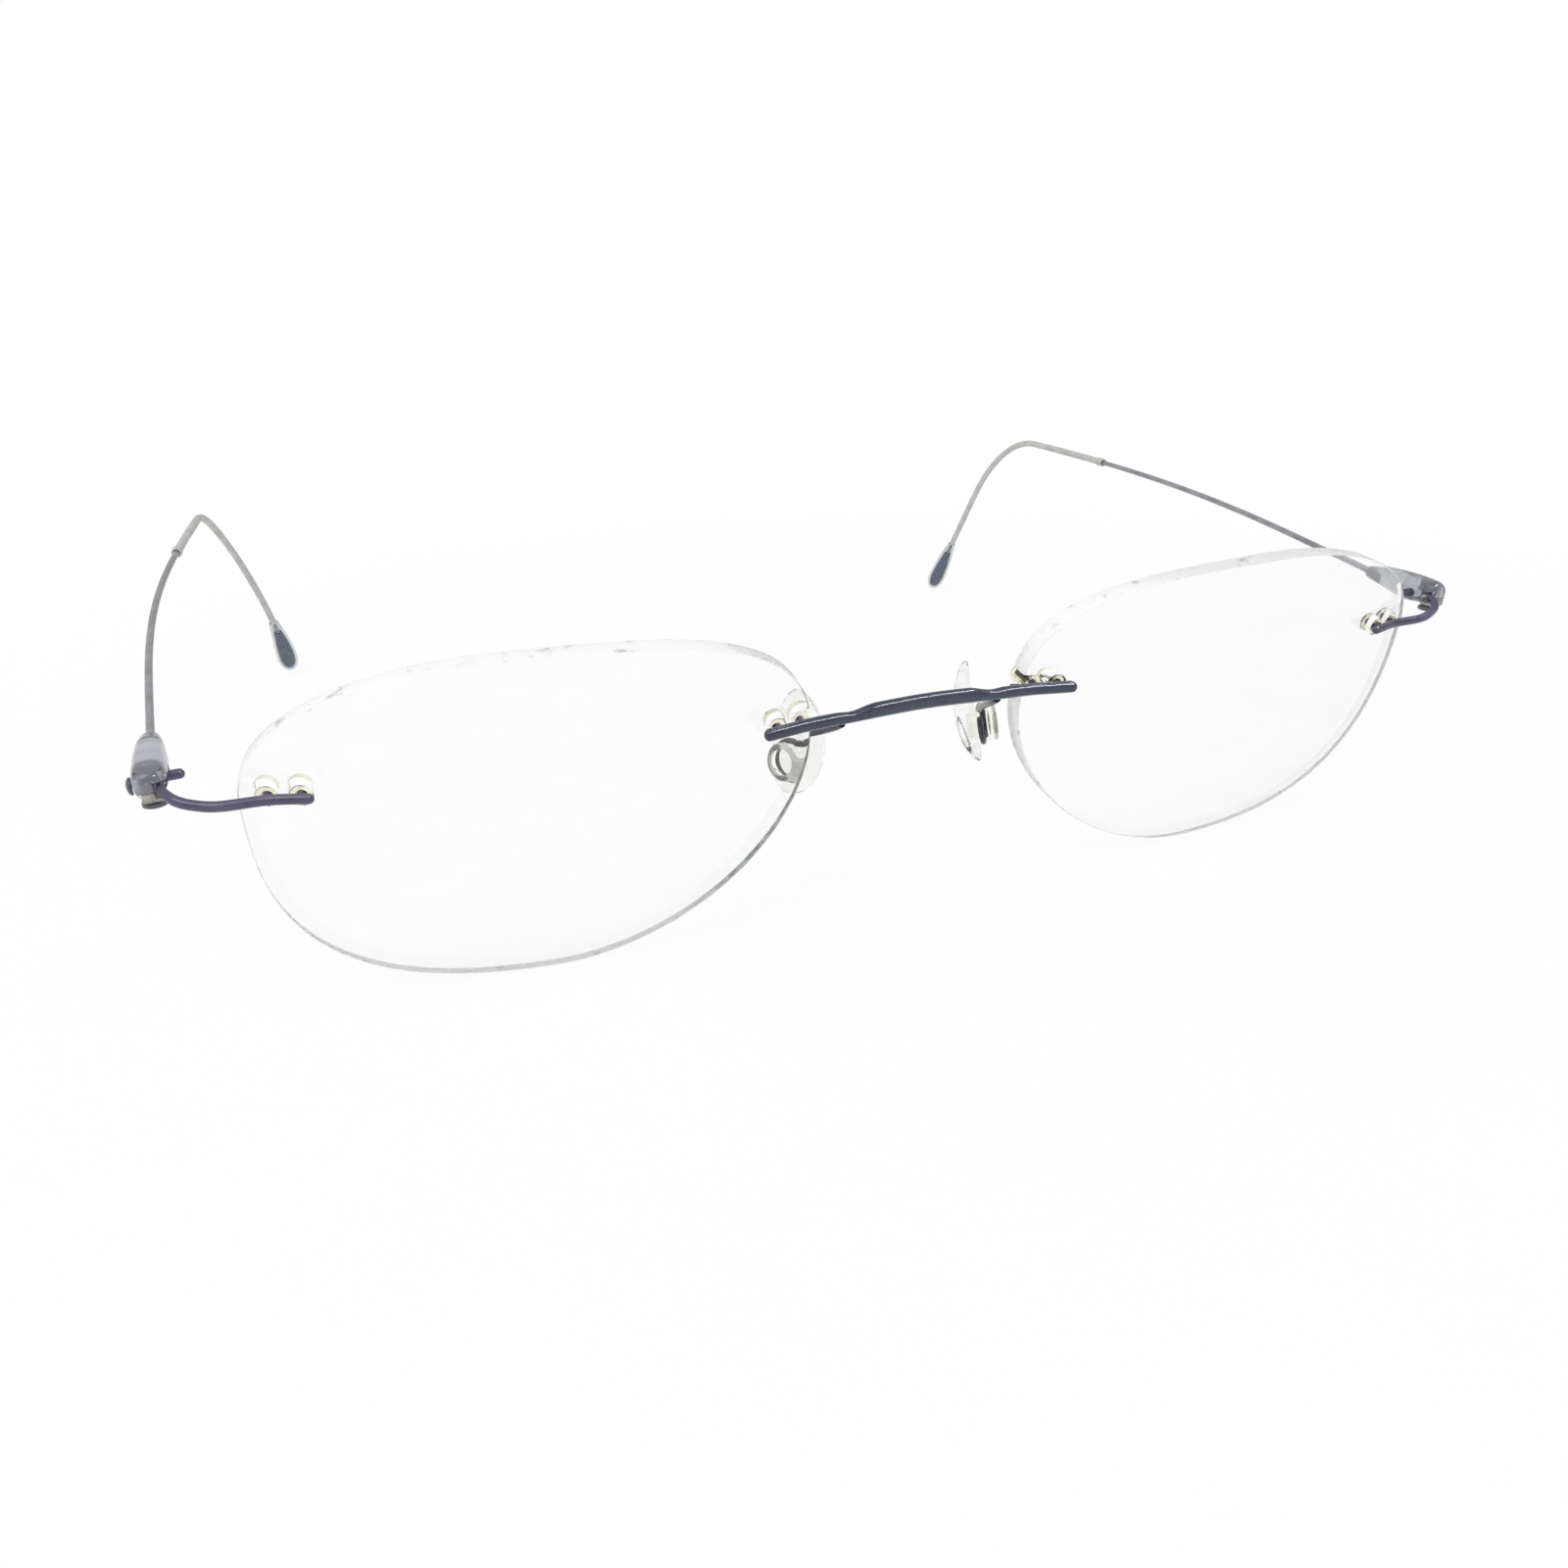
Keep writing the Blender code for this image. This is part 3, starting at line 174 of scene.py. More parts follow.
FERRULE_LENGTH = 0.00260
FERRULE_WALL = 0.00015

# Temples
TEMPLE_RUN = 0.0835
TEMPLE_RISE_START = 7.6
TEMPLE_RISE_END = 2.9
TEMPLE_BOW_START = 7.0
TEMPLE_BOW_END = -1.2
# Where the bow begins and how much of the run it takes, as shares of the run.
TEMPLE_BOW_AFTER = 0.08
TEMPLE_BOW_OVER = 0.75
BEND_RADIUS = 0.0178
DROP_ANGLE = -66
DROP_CURVE = 760
DROP_TURN_IN = -14
DROP_TURN_BACK = 640
TEMPLE_WIRE_RADIUS = 0.00036
CORE_WIRE_RADIUS = 0.00024
SLEEVE_START = 0.0625
SLEEVE_FRONT_RADIUS = 0.00063
SLEEVE_RADIUS = 0.00052
SLEEVE_STEP = 0.0016
SLEEVE_EDGE = 0.0001
# The wire narrows from its full width to its core's just inside the sleeve's mouth.
NARROWING_START = SLEEVE_START - 0.0004
NARROWING_END = SLEEVE_START + 0.0002
BARE_SPACING = 0.0008
COVERED_SPACING = 0.0006
TIP_LENGTH = 0.0132
TIP_WIDTH = 0.0034
TIP_DEPTH = 0.0031
TIP_START_SHARE = 0.42
TIP_WALL = 0.00036
CORE_START = 0.20
WIRE_IN_TIP = 0.50
TIP_END_RISE = 0.00056
# Where along its length the tip is widest, as a share.
TIP_WIDEST = 0.72

# Nose pads
PAD_CENTRE_X = 0.01065
PAD_CENTRE_BACK = 0.00819
PAD_CENTRE_DOWN = 0.00580
PAD_SPLAY = 30
PAD_FLARE = 9
PAD_HEIGHT = 0.01060
PAD_WIDTH = 0.0064
PAD_THICKNESS = 0.00150
PAD_ABOVE_EYE = 0.00150
PAD_FACE_RADIUS = 0.0100
PAD_BACK_RADIUS = 1.9 * PAD_FACE_RADIUS
PAD_SIDE_RADIUS = 1.3 * PAD_FACE_RADIUS
PAD_SQUARENESS = 2.2
# How much narrower the pad is at its top than at its middle, as a share.
PAD_NARROWING = 0.16
INSERT_HOLE_RADIUS = 0.00126
INSERT_NECK_RADIUS = 0.00150
INSERT_RIM_RADIUS = 0.00186
INSERT_RIM_DEPTH = 0.00090
INSERT_RIM_EDGE = 0.00028
INSERT_MOUTH = 0.00015
EYE_WIRE_RADIUS = 0.00029
EYE_ROOM = 0.00034
PAD_ARM_ROOT_X = 0.0079
PAD_ARM_SET_BACK = 0.00035
PAD_ARM_ROOT_RADIUS = 0.00044
PAD_ARM_GAP = 0.00004
# How far the arm's route is pushed (x, y, z) just below the bar, and about half way down.
PAD_ARM_ELBOW = (0.00015, 0.00095, -0.00055)
PAD_ARM_SAG = (-0.00010, 0.00010, -0.00015)
PAD_ARM_SPACING = 0.00018
# The eye's wire runs round the insert's neck between these angles.
EYE_START = 112
EYE_END = -222
EYE_STEPS = 22
PAD_SOCKET = 0.00040
PAD_BACK_GAP = 0.00045
PAD_BACK_PLACE = -EYE_WIRE_RADIUS - EYE_ROOM - PAD_BACK_GAP

# How finely round shapes are divided
LENS_POINTS = 220
WIRE_SIDES = 20
PIN_SIDES = 24
CORE_SIDES = 28
FERRULE_SIDES = 32
BAR_SIDES = 36
TIP_SIDES = 36
ROUND_SIDES = 40
HOUSING_SIDES = 56
PAD_SIDES = 72

SIDES = (("left", 1), ("right", -1))


# Meshes


def loft(rings, closed=False, second_finish=()):
    """A closed skin through rings of points: with flat ends, or joined end to end like a pipe wall.

    The bands numbered in second_finish take the piece's second finish.
    """
    mesh = bmesh.new()
    rows = [[mesh.verts.new(point) for point in ring] for ring in rings]
    pairs = list(zip(rows, rows[1:]))
    if closed:
        pairs.append((rows[-1], rows[0]))
    else:
        mesh.faces.new(rows[0])
        mesh.faces.new(rows[-1])
    for number, (first, second) in enumerate(pairs):
        for i in range(len(first)):
            j = (i + 1) % len(first)
            face = mesh.faces.new((first[i], first[j], second[j], second[i]))
            face.material_index = int(number in second_finish)
    bmesh.ops.recalc_face_normals(mesh, faces=mesh.faces)
    return mesh


def ellipse(half_width, half_height, sides, power=2.0):
    """Points (across, up) round an ellipse, or a squarer superellipse when power is over 2."""
    points = []
    for i in range(sides):
        angle = 2 * math.pi * (i + 0.5) / sides
        across, up = math.cos(angle), math.sin(angle)
        points.append((
            half_width * math.copysign(abs(across) ** (2 / power), across),
            half_height * math.copysign(abs(up) ** (2 / power), up),
        ))
    return points


def turned(profile, axis, closed=False, second_finish=()):
    """A turned piece: profile gives (place along the axis, radius), and axis is "X", "Y" or "Z"."""
    rings = []
    for along, radius in profile:
        ring = [Vector((across, up, along)) for across, up in ellipse(radius, radius, ROUND_SIDES)]
        if axis == "X":
            ring = [Vector((p.z, p.x, p.y)) for p in ring]
        if axis == "Y":
            ring = [Vector((p.x, p.z, p.y)) for p in ring]
        rings.append(ring)
    return loft(rings, closed, second_finish)


def bore_cutter(radius, low, high, axis):
    """A plain cylinder on an axis, which cuts a round hole."""
    return turned(((low, radius), (high, radius)), axis)


def rod(start, end, radius, sides=ROUND_SIDES):
    """A plain cylinder between two points."""
    along = end - start
    turn = along.to_track_quat("Z", "Y").to_matrix().to_4x4()
    rings = []
    for place in (start, end):
        rings.append([place + turn @ Vector((a, b, 0)) for a, b in ellipse(radius, radius, sides)])
    return loft(rings)


def box(low, high):
    mesh = bmesh.new()
    bmesh.ops.create_cube(mesh, size=1.0)
    size = Vector(high) - Vector(low)
    middle = (Vector(high) + Vector(low)) / 2
    placing = Matrix.Translation(middle) @ Matrix.Diagonal((*size, 1))
    bmesh.ops.transform(mesh, verts=mesh.verts, matrix=placing)
    return mesh


def prism(outline, low, high):
    """An upright prism on an outline of (x, y) points."""
    return loft([[Vector((x, y, z)) for x, y in outline] for z in (low, high)])


# Curved routes


def smooth(share):
    share = min(max(share, 0), 1)
    return share * share * (3 - 2 * share)


def mix(start, end, share):
    return start + (end - start) * share


def through(points, steps=12):
    """A fine polyline that passes smoothly through the points (Catmull-Rom)."""
    points = [Vector(p) for p in points]
    padded = [2 * points[0] - points[1]] + points + [2 * points[-1] - points[-2]]
    line = []
    for a, b, c, d in zip(padded, padded[1:], padded[2:], padded[3:]):
        for i in range(steps):
            t = i / steps
            square = (2 * a - 5 * b + 4 * c - d) * t**2
            cube = (3 * b - a - 3 * c + d) * t**3
            line.append((2 * b + (c - a) * t + square + cube) / 2)
    line.append(points[-1])
    return line


def length_of(line):
    return sum((b - a).length for a, b in zip(line, line[1:]))


def point_at(line, distance):
    """The point at a distance along the polyline, carried straight on past its ends."""
    for a, b in zip(line, line[1:]):
        step = (b - a).length
        if distance <= step or b is line[-1]:
            return a + (b - a) * (distance / step)
        distance -= step


def heading_at(line, distance):
    reach = 0.0002
    return (point_at(line, distance + reach) - point_at(line, distance - reach)).normalized()


def dome(radius, count=9):
    """(distance, radius) stations of a round end."""
    angles = [math.pi / 2 * (i + 0.4) / count for i in range(count)]
    return [(radius * (1 - math.cos(angle)), radius * math.sin(angle)) for angle in angles]


def sections_along(line, stations, sides):
    """Rings across the line at (distance, half width, half height), with the width kept level."""
    rings = []
    for distance, half_width, half_height in stations:
        middle, heading = point_at(line, distance), heading_at(line, distance)
        level = heading.cross(Vector((0, 0, 1))).normalized()
        upward = level.cross(heading)
        shape = ellipse(half_width, half_height, sides)
        rings.append([middle + level * across + upward * up for across, up in shape])
    return rings


def rolled_sections(line, stations, sides=WIRE_SIDES):
    """Rings across the line at (distance, radius), turned from one to the next without twist."""
    rings = []
    across = heading_at(line, stations[0][0]).orthogonal().normalized()
    for distance, radius in stations:
        middle, heading = point_at(line, distance), heading_at(line, distance)
        across = (across - heading * across.dot(heading)).normalized()
        second = heading.cross(across)
        shape = ellipse(radius, radius, sides)
        rings.append([middle + across * a + second * b for a, b in shape])
    return rings


def spread(start, end, spacing):
    count = max(1, round((end - start) / spacing))
    return [mix(start, end, i / count) for i in range(count + 1)]


# Lens geometry


def lens_outline():
    """Points (x, z) round the left lens, evenly spaced; +x is its temple side."""
    fine = []
    count = 1440
    turn = math.radians(LENS_OUTLINE_TURN)
    for i in range(count):
        angle = 2 * math.pi * i / count
        c, s = math.cos(angle), math.sin(angle)
        if c >= 0:
            power = CORNER_TEMPLE_TOP if s >= 0 else CORNER_TEMPLE_BOTTOM
        else:
            power = CORNER_NOSE_TOP if s >= 0 else CORNER_NOSE_BOTTOM
        x = LENS_WIDTH / 2 * math.copysign(abs(c) ** (2 / power), c)
        z = (LENS_ABOVE if s >= 0 else LENS_BELOW) * math.copysign(abs(s) ** (2 / power), s)
        turned_x = x * math.cos(turn) - z * math.sin(turn)
        turned_z = x * math.sin(turn) + z * math.cos(turn)
        fine.append(Vector((turned_x, 0, turned_z)))
    fine.append(fine[0])
    total = length_of(fine)
    return [point_at(fine, total * i / LENS_POINTS) for i in range(LENS_POINTS)]


def lens_front(x, z):
    """How far the lens's front face lies behind its middle, at a point on it."""
    return LENS_FACE_RADIUS - math.sqrt(LENS_FACE_RADIUS**2 - x * x - z * z)


def on_lens(x, z, behind=0.0):
    """A point in the lens's own frame, some way behind its front face."""
    return Vector((x, lens_front(x, z) + behind, z))


LENS_CENTRE_X = BRIDGE_WIDTH / 2 + LENS_WIDTH / 2 * math.cos(math.radians(LENS_WRAP))
LENS_TURN = (0, 0, math.radians(LENS_WRAP))
NOSE_EDGE = -LENS_WIDTH / 2
TEMPLE_EDGE = LENS_WIDTH / 2
NOTCH = (NOSE_EDGE + NOTCH_FROM_NOSE_EDGE, NOSE_PINS_UP)
NOSE_HOLE = (NOSE_EDGE + HOLE_FROM_NOSE_EDGE, NOSE_PINS_UP - NOSE_HOLE_DROP)
INNER_TEMPLE_HOLE = (TEMPLE_EDGE - INNER_HOLE_FROM_TEMPLE_EDGE, TEMPLE_PINS_UP)
OUTER_TEMPLE_HOLE = (TEMPLE_EDGE - OUTER_HOLE_FROM_TEMPLE_EDGE, TEMPLE_PINS_UP)
LENS_MATRIX = Matrix.Translation((LENS_CENTRE_X, 0, 0)) @ Euler(LENS_TURN).to_matrix().to_4x4()


def front_matrix():
    """The front's frame: leaning by the tilt, at the height that stands the lenses on the ground."""
    tilt = Matrix.Rotation(math.radians(LENS_TILT), 4, "X")
    lowest = min(
        (tilt @ LENS_MATRIX @ on_lens(p.x, p.z, behind)).z
        for p in lens_outline()
        for behind in (LENS_BEVEL, LENS_THICKNESS - LENS_BEVEL)
    )
    return Matrix.Translation((0, 0, -lowest)) @ tilt


FRONT = front_matrix()
ON_FRONT = FRONT @ LENS_MATRIX
HINGE = FRONT @ Vector((LENS_CENTRE_X + TEMPLE_EDGE + HINGE_OUT, HINGE_BACK, HINGE_UP))
PAD_EYE = FRONT @ Vector((PAD_CENTRE_X, PAD_CENTRE_BACK, -PAD_CENTRE_DOWN))
PAD_TURN = (0, math.radians(-PAD_FLARE), math.radians(-PAD_SPLAY))
HOUSING_TURN = (0, 0, math.radians(-HOUSING_YAW))

JOINTS = {joint["name"]: joint for joint in frame["record"]["behaviour"]["joints"]}
GLASSES = Matrix.Translation(Vector(JOINTS["temple_fold_left"]["pos_m"]) - HINGE)
FRONT_FRAME = GLASSES @ FRONT
LENS_FRAME = FRONT_FRAME @ LENS_MATRIX
HINGE_FRAME = GLASSES @ Matrix.Translation(HINGE)
HOUSING_FRAME = HINGE_FRAME @ Euler(HOUSING_TURN).to_matrix().to_4x4()
PAD_FRAME = GLASSES @ Matrix.Translation(PAD_EYE) @ Euler(PAD_TURN).to_matrix().to_4x4()


# Pieces


def placed(mesh, carrier, side):
    """The mesh, drawn for the left side in its carrier's frame, put where it lies on the glasses."""
    bmesh.ops.transform(mesh, matrix=carrier, verts=mesh.verts)
    if side < 0:
        bmesh.ops.scale(mesh, vec=(-1, 1, 1), verts=mesh.verts)
        bmesh.ops.reverse_faces(mesh, faces=mesh.faces)
    return mesh


def object_of(name, mesh):
    data = bpy.data.meshes.new(name)
    mesh.to_mesh(data)
    mesh.free()
    made = bpy.data.objects.new(name, data)
    bpy.context.scene.collection.objects.link(made)
    return made


def carve(made, cutters, operation="DIFFERENCE"):
    """Cuts the meshes out of the piece, or joins them on, and keeps only the result."""
    helpers = []
    for number, cutter in enumerate(cutters):
        helper = object_of(f"{made.name}_tool_{number}", cutter)
        step = made.modifiers.new(helper.name, "BOOLEAN")
        step.operation = operation
        step.solver = "EXACT"
        step.object = helper
        helpers.append(helper)
    bpy.context.view_layer.update()
    graph = bpy.context.evaluated_depsgraph_get()
    plain = made.data
    made.data = bpy.data.meshes.new_from_object(made.evaluated_get(graph))
    made.data.name = made.name
    made.modifiers.clear()
    bpy.data.meshes.remove(plain)
    for helper in helpers:
        bpy.data.meshes.remove(helper.data)


def dress(node, mesh, carrier, side, body, slot, finishes, cutters=(), operation="DIFFERENCE", sharp=38):
    """Puts a finely shaped piece in the place of one solid, on the same body."""
    made = object_of(f"fine_{node}", placed(mesh, carrier, side))
    for finish in finishes:
        made.data.materials.append(finish)
    if cutters:
        carve(made, [placed(cutter, carrier, side) for cutter in cutters], operation)
    made.data.shade_smooth()
    made.data.set_sharp_from_angle(angle=math.radians(sharp))
    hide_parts(node)
    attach(made, body)


# Finishes


def node(tree, kind, inputs, output, operation=None):
    """Adds a node whose inputs are plain values or sockets, and gives one of its outputs."""
    made = tree.nodes.new(kind)
    if kind == "ShaderNodeMix":
        made.data_type = "RGBA"
    if operation:
        made.operation = operation
    for name, value in inputs.items():
        if isinstance(value, bpy.types.NodeSocket):
            tree.links.new(value, made.inputs[name])
        else:
            made.inputs[name].default_value = value
    return made.outputs[output]


def math_of(tree, operation, first, second):
    """What a Math node makes of two sockets, such as their product or the larger of them."""
    return node(tree, "ShaderNodeMath", {0: first, 1: second}, 0, operation)


def lighter(color, by):
    return tuple(min(1.0, channel * by) for channel in color)


class Finish:
    """A material under construction: its shader, and the nodes that feed it."""

    def __init__(self, name, roughness, metallic=0.0, transmission=0.0, ior=1.5):
        self.material = bpy.data.materials.new(name)
        self.material.use_nodes = True
        self.tree = self.material.node_tree
        self.shader = self.tree.nodes["Principled BSDF"]
        self.set("Roughness", roughness)
        self.set("Metallic", metallic)
        self.set("Transmission Weight", transmission)
        self.set("IOR", ior)
        self.place = self.node("ShaderNodeTexCoord", {}, "Object")

    def node(self, kind, inputs, output, operation=None):
        return node(self.tree, kind, inputs, output, operation)

    def set(self, socket, value):
        self.shader.inputs[socket].default_value = value

    def feed(self, value, socket):
        self.tree.links.new(value, self.shader.inputs[socket])

    def noise(self, scale, detail, stretch=(1, 1, 1)):
        """Cloudy noise over the glasses, with scale in features per metre."""
        place = self.node("ShaderNodeMapping", {"Vector": self.place, "Scale": stretch}, "Vector")
        inputs = {"Vector": place, "Scale": scale, "Detail": detail}
        return self.node("ShaderNodeTexNoise", inputs, "Fac")

    def spread_to(self, factor, low, high, from_low=0.3, from_high=0.7):
        """The factor carried from one range over to another, and held inside it."""
        start = {"Value": factor, "From Min": from_low, "From Max": from_high}
        return self.node("ShaderNodeMapRange", {**start, "To Min": low, "To Max": high}, "Result")

    def along(self, axis, start, end):
        """Rises from 0 to 1 between two places along an axis of the glasses."""
        place = self.node("ShaderNodeSeparateXYZ", {"Vector": self.place}, axis)
        return self.spread_to(place, 0, 1, start, end)

    def product(self, first, second):
        return math_of(self.tree, "MULTIPLY", first, second)

    def ramp(self, factor, stops):
        """Colours at places along a factor, from (place, colour) pairs."""
        made = self.tree.nodes.new("ShaderNodeValToRGB")
        elements = made.color_ramp.elements
        while len(elements) < len(stops):
            elements.new(0.5)
        for element, (place, color) in zip(elements, stops):
            element.position = place
            element.color = (*color, 1)
        self.tree.links.new(factor, made.inputs["Fac"])
        return made.outputs["Color"]

    def blend(self, factor, first, second):
        """Two colours mixed by a factor. Each is a plain colour or a socket."""
        inputs = {"Factor": factor}
        for name, color in (("A", first), ("B", second)):
            inputs[name] = color if isinstance(color, bpy.types.NodeSocket) else (*color, 1)
        return self.node("ShaderNodeMix", inputs, "Result")

    def clouded(self, factor, color, low, high):
        """Colour that drifts with a factor from one brightness of itself to another."""
        return self.blend(self.spread_to(factor, 0, 1), lighter(color, low), lighter(color, high))

    def bump(self, height, strength, distance):
        inputs = {"Height": height, "Strength": strength, "Distance": distance}
        self.feed(self.node("ShaderNodeBump", inputs, "Normal"), "Normal")


def lacquer(name, color, roughness, coat, grain=0.10, coat_roughness=0.10, coat_ior=1.35):
    """Coloured lacquer on wire: faint clouding, fine orange peel, and small pale rubs."""
    made = Finish(name, roughness, metallic=0.10)
    made.set("Specular IOR Level", 0.30)
    made.set("Coat Weight", coat)
    made.set("Coat Roughness", coat_roughness)
    made.set("Coat IOR", coat_ior)
    clouds = made.noise(420, 4)
    rubbed = made.spread_to(made.noise(2600, 5), 0, 0.6, 0.64, 0.78)
    base = made.clouded(clouds, color, 0.82, 1.25)
    made.feed(made.blend(rubbed, base, lighter(color, 2.6)), "Base Color")
    made.feed(made.spread_to(clouds, roughness * 0.8, roughness * 1.3), "Roughness")
    made.bump(made.noise(5200, 2), strength=grain, distance=0.00003)
    return made.material


def clear_plastic(
    name, color, roughness, transmission, ior=1.5, cloud=0.75, bump=0.10, stretch=(1, 1, 1)
):
    """Moulded see-through plastic: uneven tint, faint flow marks, and a soft skin."""
    made = Finish(name, roughness, transmission=transmission, ior=ior)
    made.feed(made.clouded(made.noise(900, 4, stretch), color, cloud, 1.0), "Base Color")
    made.feed(made.spread_to(made.noise(1500, 3), roughness * 0.7, roughness * 1.5), "Roughness")
    made.bump(made.noise(2300, 3), strength=bump, distance=0.00005)
    return made.material


def silicone(name, color, roughness, transmission=0.0, ior=1.41, bump=0.12):
    """Soft silicone: a dull skin with fine dust and small shifts of colour."""
    made = Finish(name, roughness, transmission=transmission, ior=ior)
    made.set("Specular IOR Level", 0.35)
    made.feed(made.clouded(made.noise(650, 4), color, 0.86, 1.08), "Base Color")
    made.feed(made.spread_to(made.noise(3200, 4), roughness * 0.85, roughness * 1.2), "Roughness")
    made.bump(made.noise(6500, 3), strength=bump, distance=0.00003)
    return made.material


def polished_lens(name, color):
    """Clear lens face with a thin coating and the faintest wiping marks."""
    made = Finish(name, 0.0, transmission=1.0, ior=1.5)
    made.set("Specular IOR Level", 0.35)
    smears = made.noise(130, 5, (1.0, 1.0, 3.0))
    made.feed(made.clouded(smears, color, 1.0, 0.985), "Base Color")
    made.feed(made.spread_to(smears, 0.0, 0.02, 0.45, 0.8), "Roughness")
    return made.material


def ground_edge(name, color, painted_shade):
    """Ground lens rim: frosted white with broken grey patches.

    On the wearer's right it is painted a darker green-grey low beside the nose as shade, and made
    clearer along its top so that it shows whiter, as painted light.
    """
    made = Finish(name, 0.35, transmission=0.45, ior=1.12)
    patches = made.noise(620, 6)
    pale = made.ramp(patches, ((0.30, lighter(color, 0.60)), (0.38, color), (0.44, (1, 1, 1))))
    # Painted shade: a darker mottled green-grey on the rim low beside the nose, on the wearer's right
    # only.
    dark = made.ramp(made.noise(900, 5), ((0.42, painted_shade), (0.60, lighter(painted_shade, 2.2))))
    on_right = made.along("X", 0.0020, 0.0)
    near_nose = made.product(made.along("X", -0.0235, -0.0160), on_right)
    painted_shade_low_by_nose = made.product(made.along("Z", 0.0265, 0.0215), near_nose)
    made.feed(made.blend(painted_shade_low_by_nose, pale, dark), "Base Color")
    made.feed(made.spread_to(patches, 0.42, 0.08, 0.42, 0.60), "Roughness")
    # Painted light: the top of the wearer's right rim lets more of the white light through, so it shows
    # whiter than the other rim's top.
    along_top = made.product(made.along("Z", 0.0180, 0.0250), on_right)
    made.feed(made.spread_to(along_top, 0.12, 0.50, 0, 1), "Transmission Weight")
    made.bump(made.noise(4200, 3), strength=0.25, distance=0.00004)
    return made.material


def satin_metal(name, color, roughness):
    """Drawn metal with a fine grain along the temple."""
    made = Finish(name, roughness, metallic=0.85)
    grain = made.noise(1800, 4, (1.0, 0.15, 1.0))
    made.feed(made.clouded(grain, color, 0.8, 1.3), "Base Color")
    made.feed(made.spread_to(grain, roughness * 0.8, roughness * 1.3), "Roughness")
    made.bump(grain, strength=0.10, distance=0.00002)
    return made.material


# Settings


def colour(name, description, default):
    return FloatVectorProperty(
        name=name, description=description, default=default, size=3, min=0, max=1, subtype="COLOR"
    )


def amount(name, description, default, **limits):
    return FloatProperty(name=name, description=description, default=default, **{"min": 0, **limits})


class EyeglassColours(PropertyGroup):
    """Colours of the pieces."""

    lens: colour("Lens", "Tint of the clear lenses", (0.996, 0.997, 0.997))
    rim: colour("Lens rim", "Ground edge of the lenses", (0.95, 0.95, 0.945))
    # Painted shade: darker green-grey for the lens rim low beside the nose on the wearer's right, where
    # that edge lies in shade.
    rim_painted_shade: colour("Shaded rim", "Ground edge low beside the nose", (0.30, 0.33, 0.30))
    bushing: colour("Bushings", "Yellowed clear bushings in the drilled holes", (0.985, 0.958, 0.79))
    bridge: colour("Bridge", "Lacquer of the bridge bar", (0.044, 0.052, 0.088))
    endpiece: colour("End pieces", "Lacquer of the end piece wires", (0.092, 0.082, 0.138))
    post: colour("Hinge posts", "Hinge posts and their feet", (0.125, 0.120, 0.160))
    cross_pin: colour("Cross pins", "Pins across the hinge housings", (0.125, 0.115, 0.180))
    housing: colour("Housings", "See-through hinge housings", (0.62, 0.64, 0.69))
    block: colour("Bearing blocks", "Blocks that turn on the posts", (0.80, 0.78, 0.68))
    ferrule: colour("Ferrules", "Ferrules in the backs of the housings", (0.16, 0.15, 0.19))
    wire: colour("Temple wires", "Lacquer of the temple wires", (0.305, 0.305, 0.330))
    bare_wire: colour("Bare wires", "Temple wires inside the sleeves and the tips", (0.55, 0.56, 0.55))
    sleeve: colour("Ear sleeves", "Sleeves over the bend behind the ear", (0.59, 0.59, 0.57))
    tip: colour("Tip covers", "Clear covers of the temple tips", (0.66, 0.68, 0.69))
    tip_core: colour("Tip cores", "Cores inside the temple tips", (0.35, 0.375, 0.46))
    pad: colour("Nose pads", "Clear silicone pads", (0.985, 0.98, 0.95))
    insert: colour("Pad inserts", "Hard rings that hold the pads", (0.62, 0.60, 0.56))
    pad_arm: colour("Pad arms", "Wires that carry the nose pads", (0.035, 0.032, 0.048))


class EyeglassSettings(PropertyGroup):
    """Light, floor and camera, and how glossy the lacquer is."""

    gloss: amount("Gloss", "Clear coat over the lacquer", 0.60, max=1)
    floor_size: amount("Floor", "Width of the floor", 3.0, min=0.5, subtype="DISTANCE", unit="LENGTH")
    floor_white: amount("Floor white", "How far the floor near the glasses is washed out", 0.93, max=1)
    key_power: amount("Key light", "Power of the soft light above", 2.4)
    strip_power: amount("Strip light", "Power of the narrow light that draws streaks", 3.4)
    sky: amount("Sky", "Strength of the even light all round", 0.62)
    sky_gloss: amount("Sky gloss", "Brightness of the sky in reflections", 0.50)
    focal_length: amount("Lens", "Focal length in millimetres", 26.52, min=1)
    ring_count: IntProperty(
        name="Lens rings", description="Rings across each lens face", default=14, min=4, max=60
    )


def colours():
    return bpy.context.scene.eyeglass_colours


def settings():
    return bpy.context.scene.eyeglass_settings


# Lenses and bushings

HOLES = (NOSE_HOLE, INNER_TEMPLE_HOLE, OUTER_TEMPLE_HOLE, NOTCH)


def lens_mesh():
    """Rings from the middle of the lens's front, round its rim, to the middle of its back."""
    outline = lens_outline()
    count = settings().ring_count

    def ring(inward, behind):
        scale = 1 - 2 * inward / LENS_WIDTH
        return [on_lens(p.x * scale, p.z * scale, behind) for p in outline]

    face = [LENS_WIDTH / 2 * (1 - (i + 0.4) / count) for i in range(count)]
    face = [inward for inward in face if inward > 3 * LENS_BEVEL] + [LENS_BEVEL]
    corner = LENS_BEVEL * 0.3
    rim = [(corner, corner), (0, LENS_BEVEL)]
    rim += [(inward, LENS_THICKNESS - behind) for inward, behind in reversed(rim)]
    rings = [ring(inward, 0) for inward in face]
    rings += [ring(inward, behind) for inward, behind in rim]
    rings += [ring(inward, LENS_THICKNESS) for inward in reversed(face)]
    first = len(face) - 1
    return loft(rings, second_finish=range(first, first + len(rim) + 1))


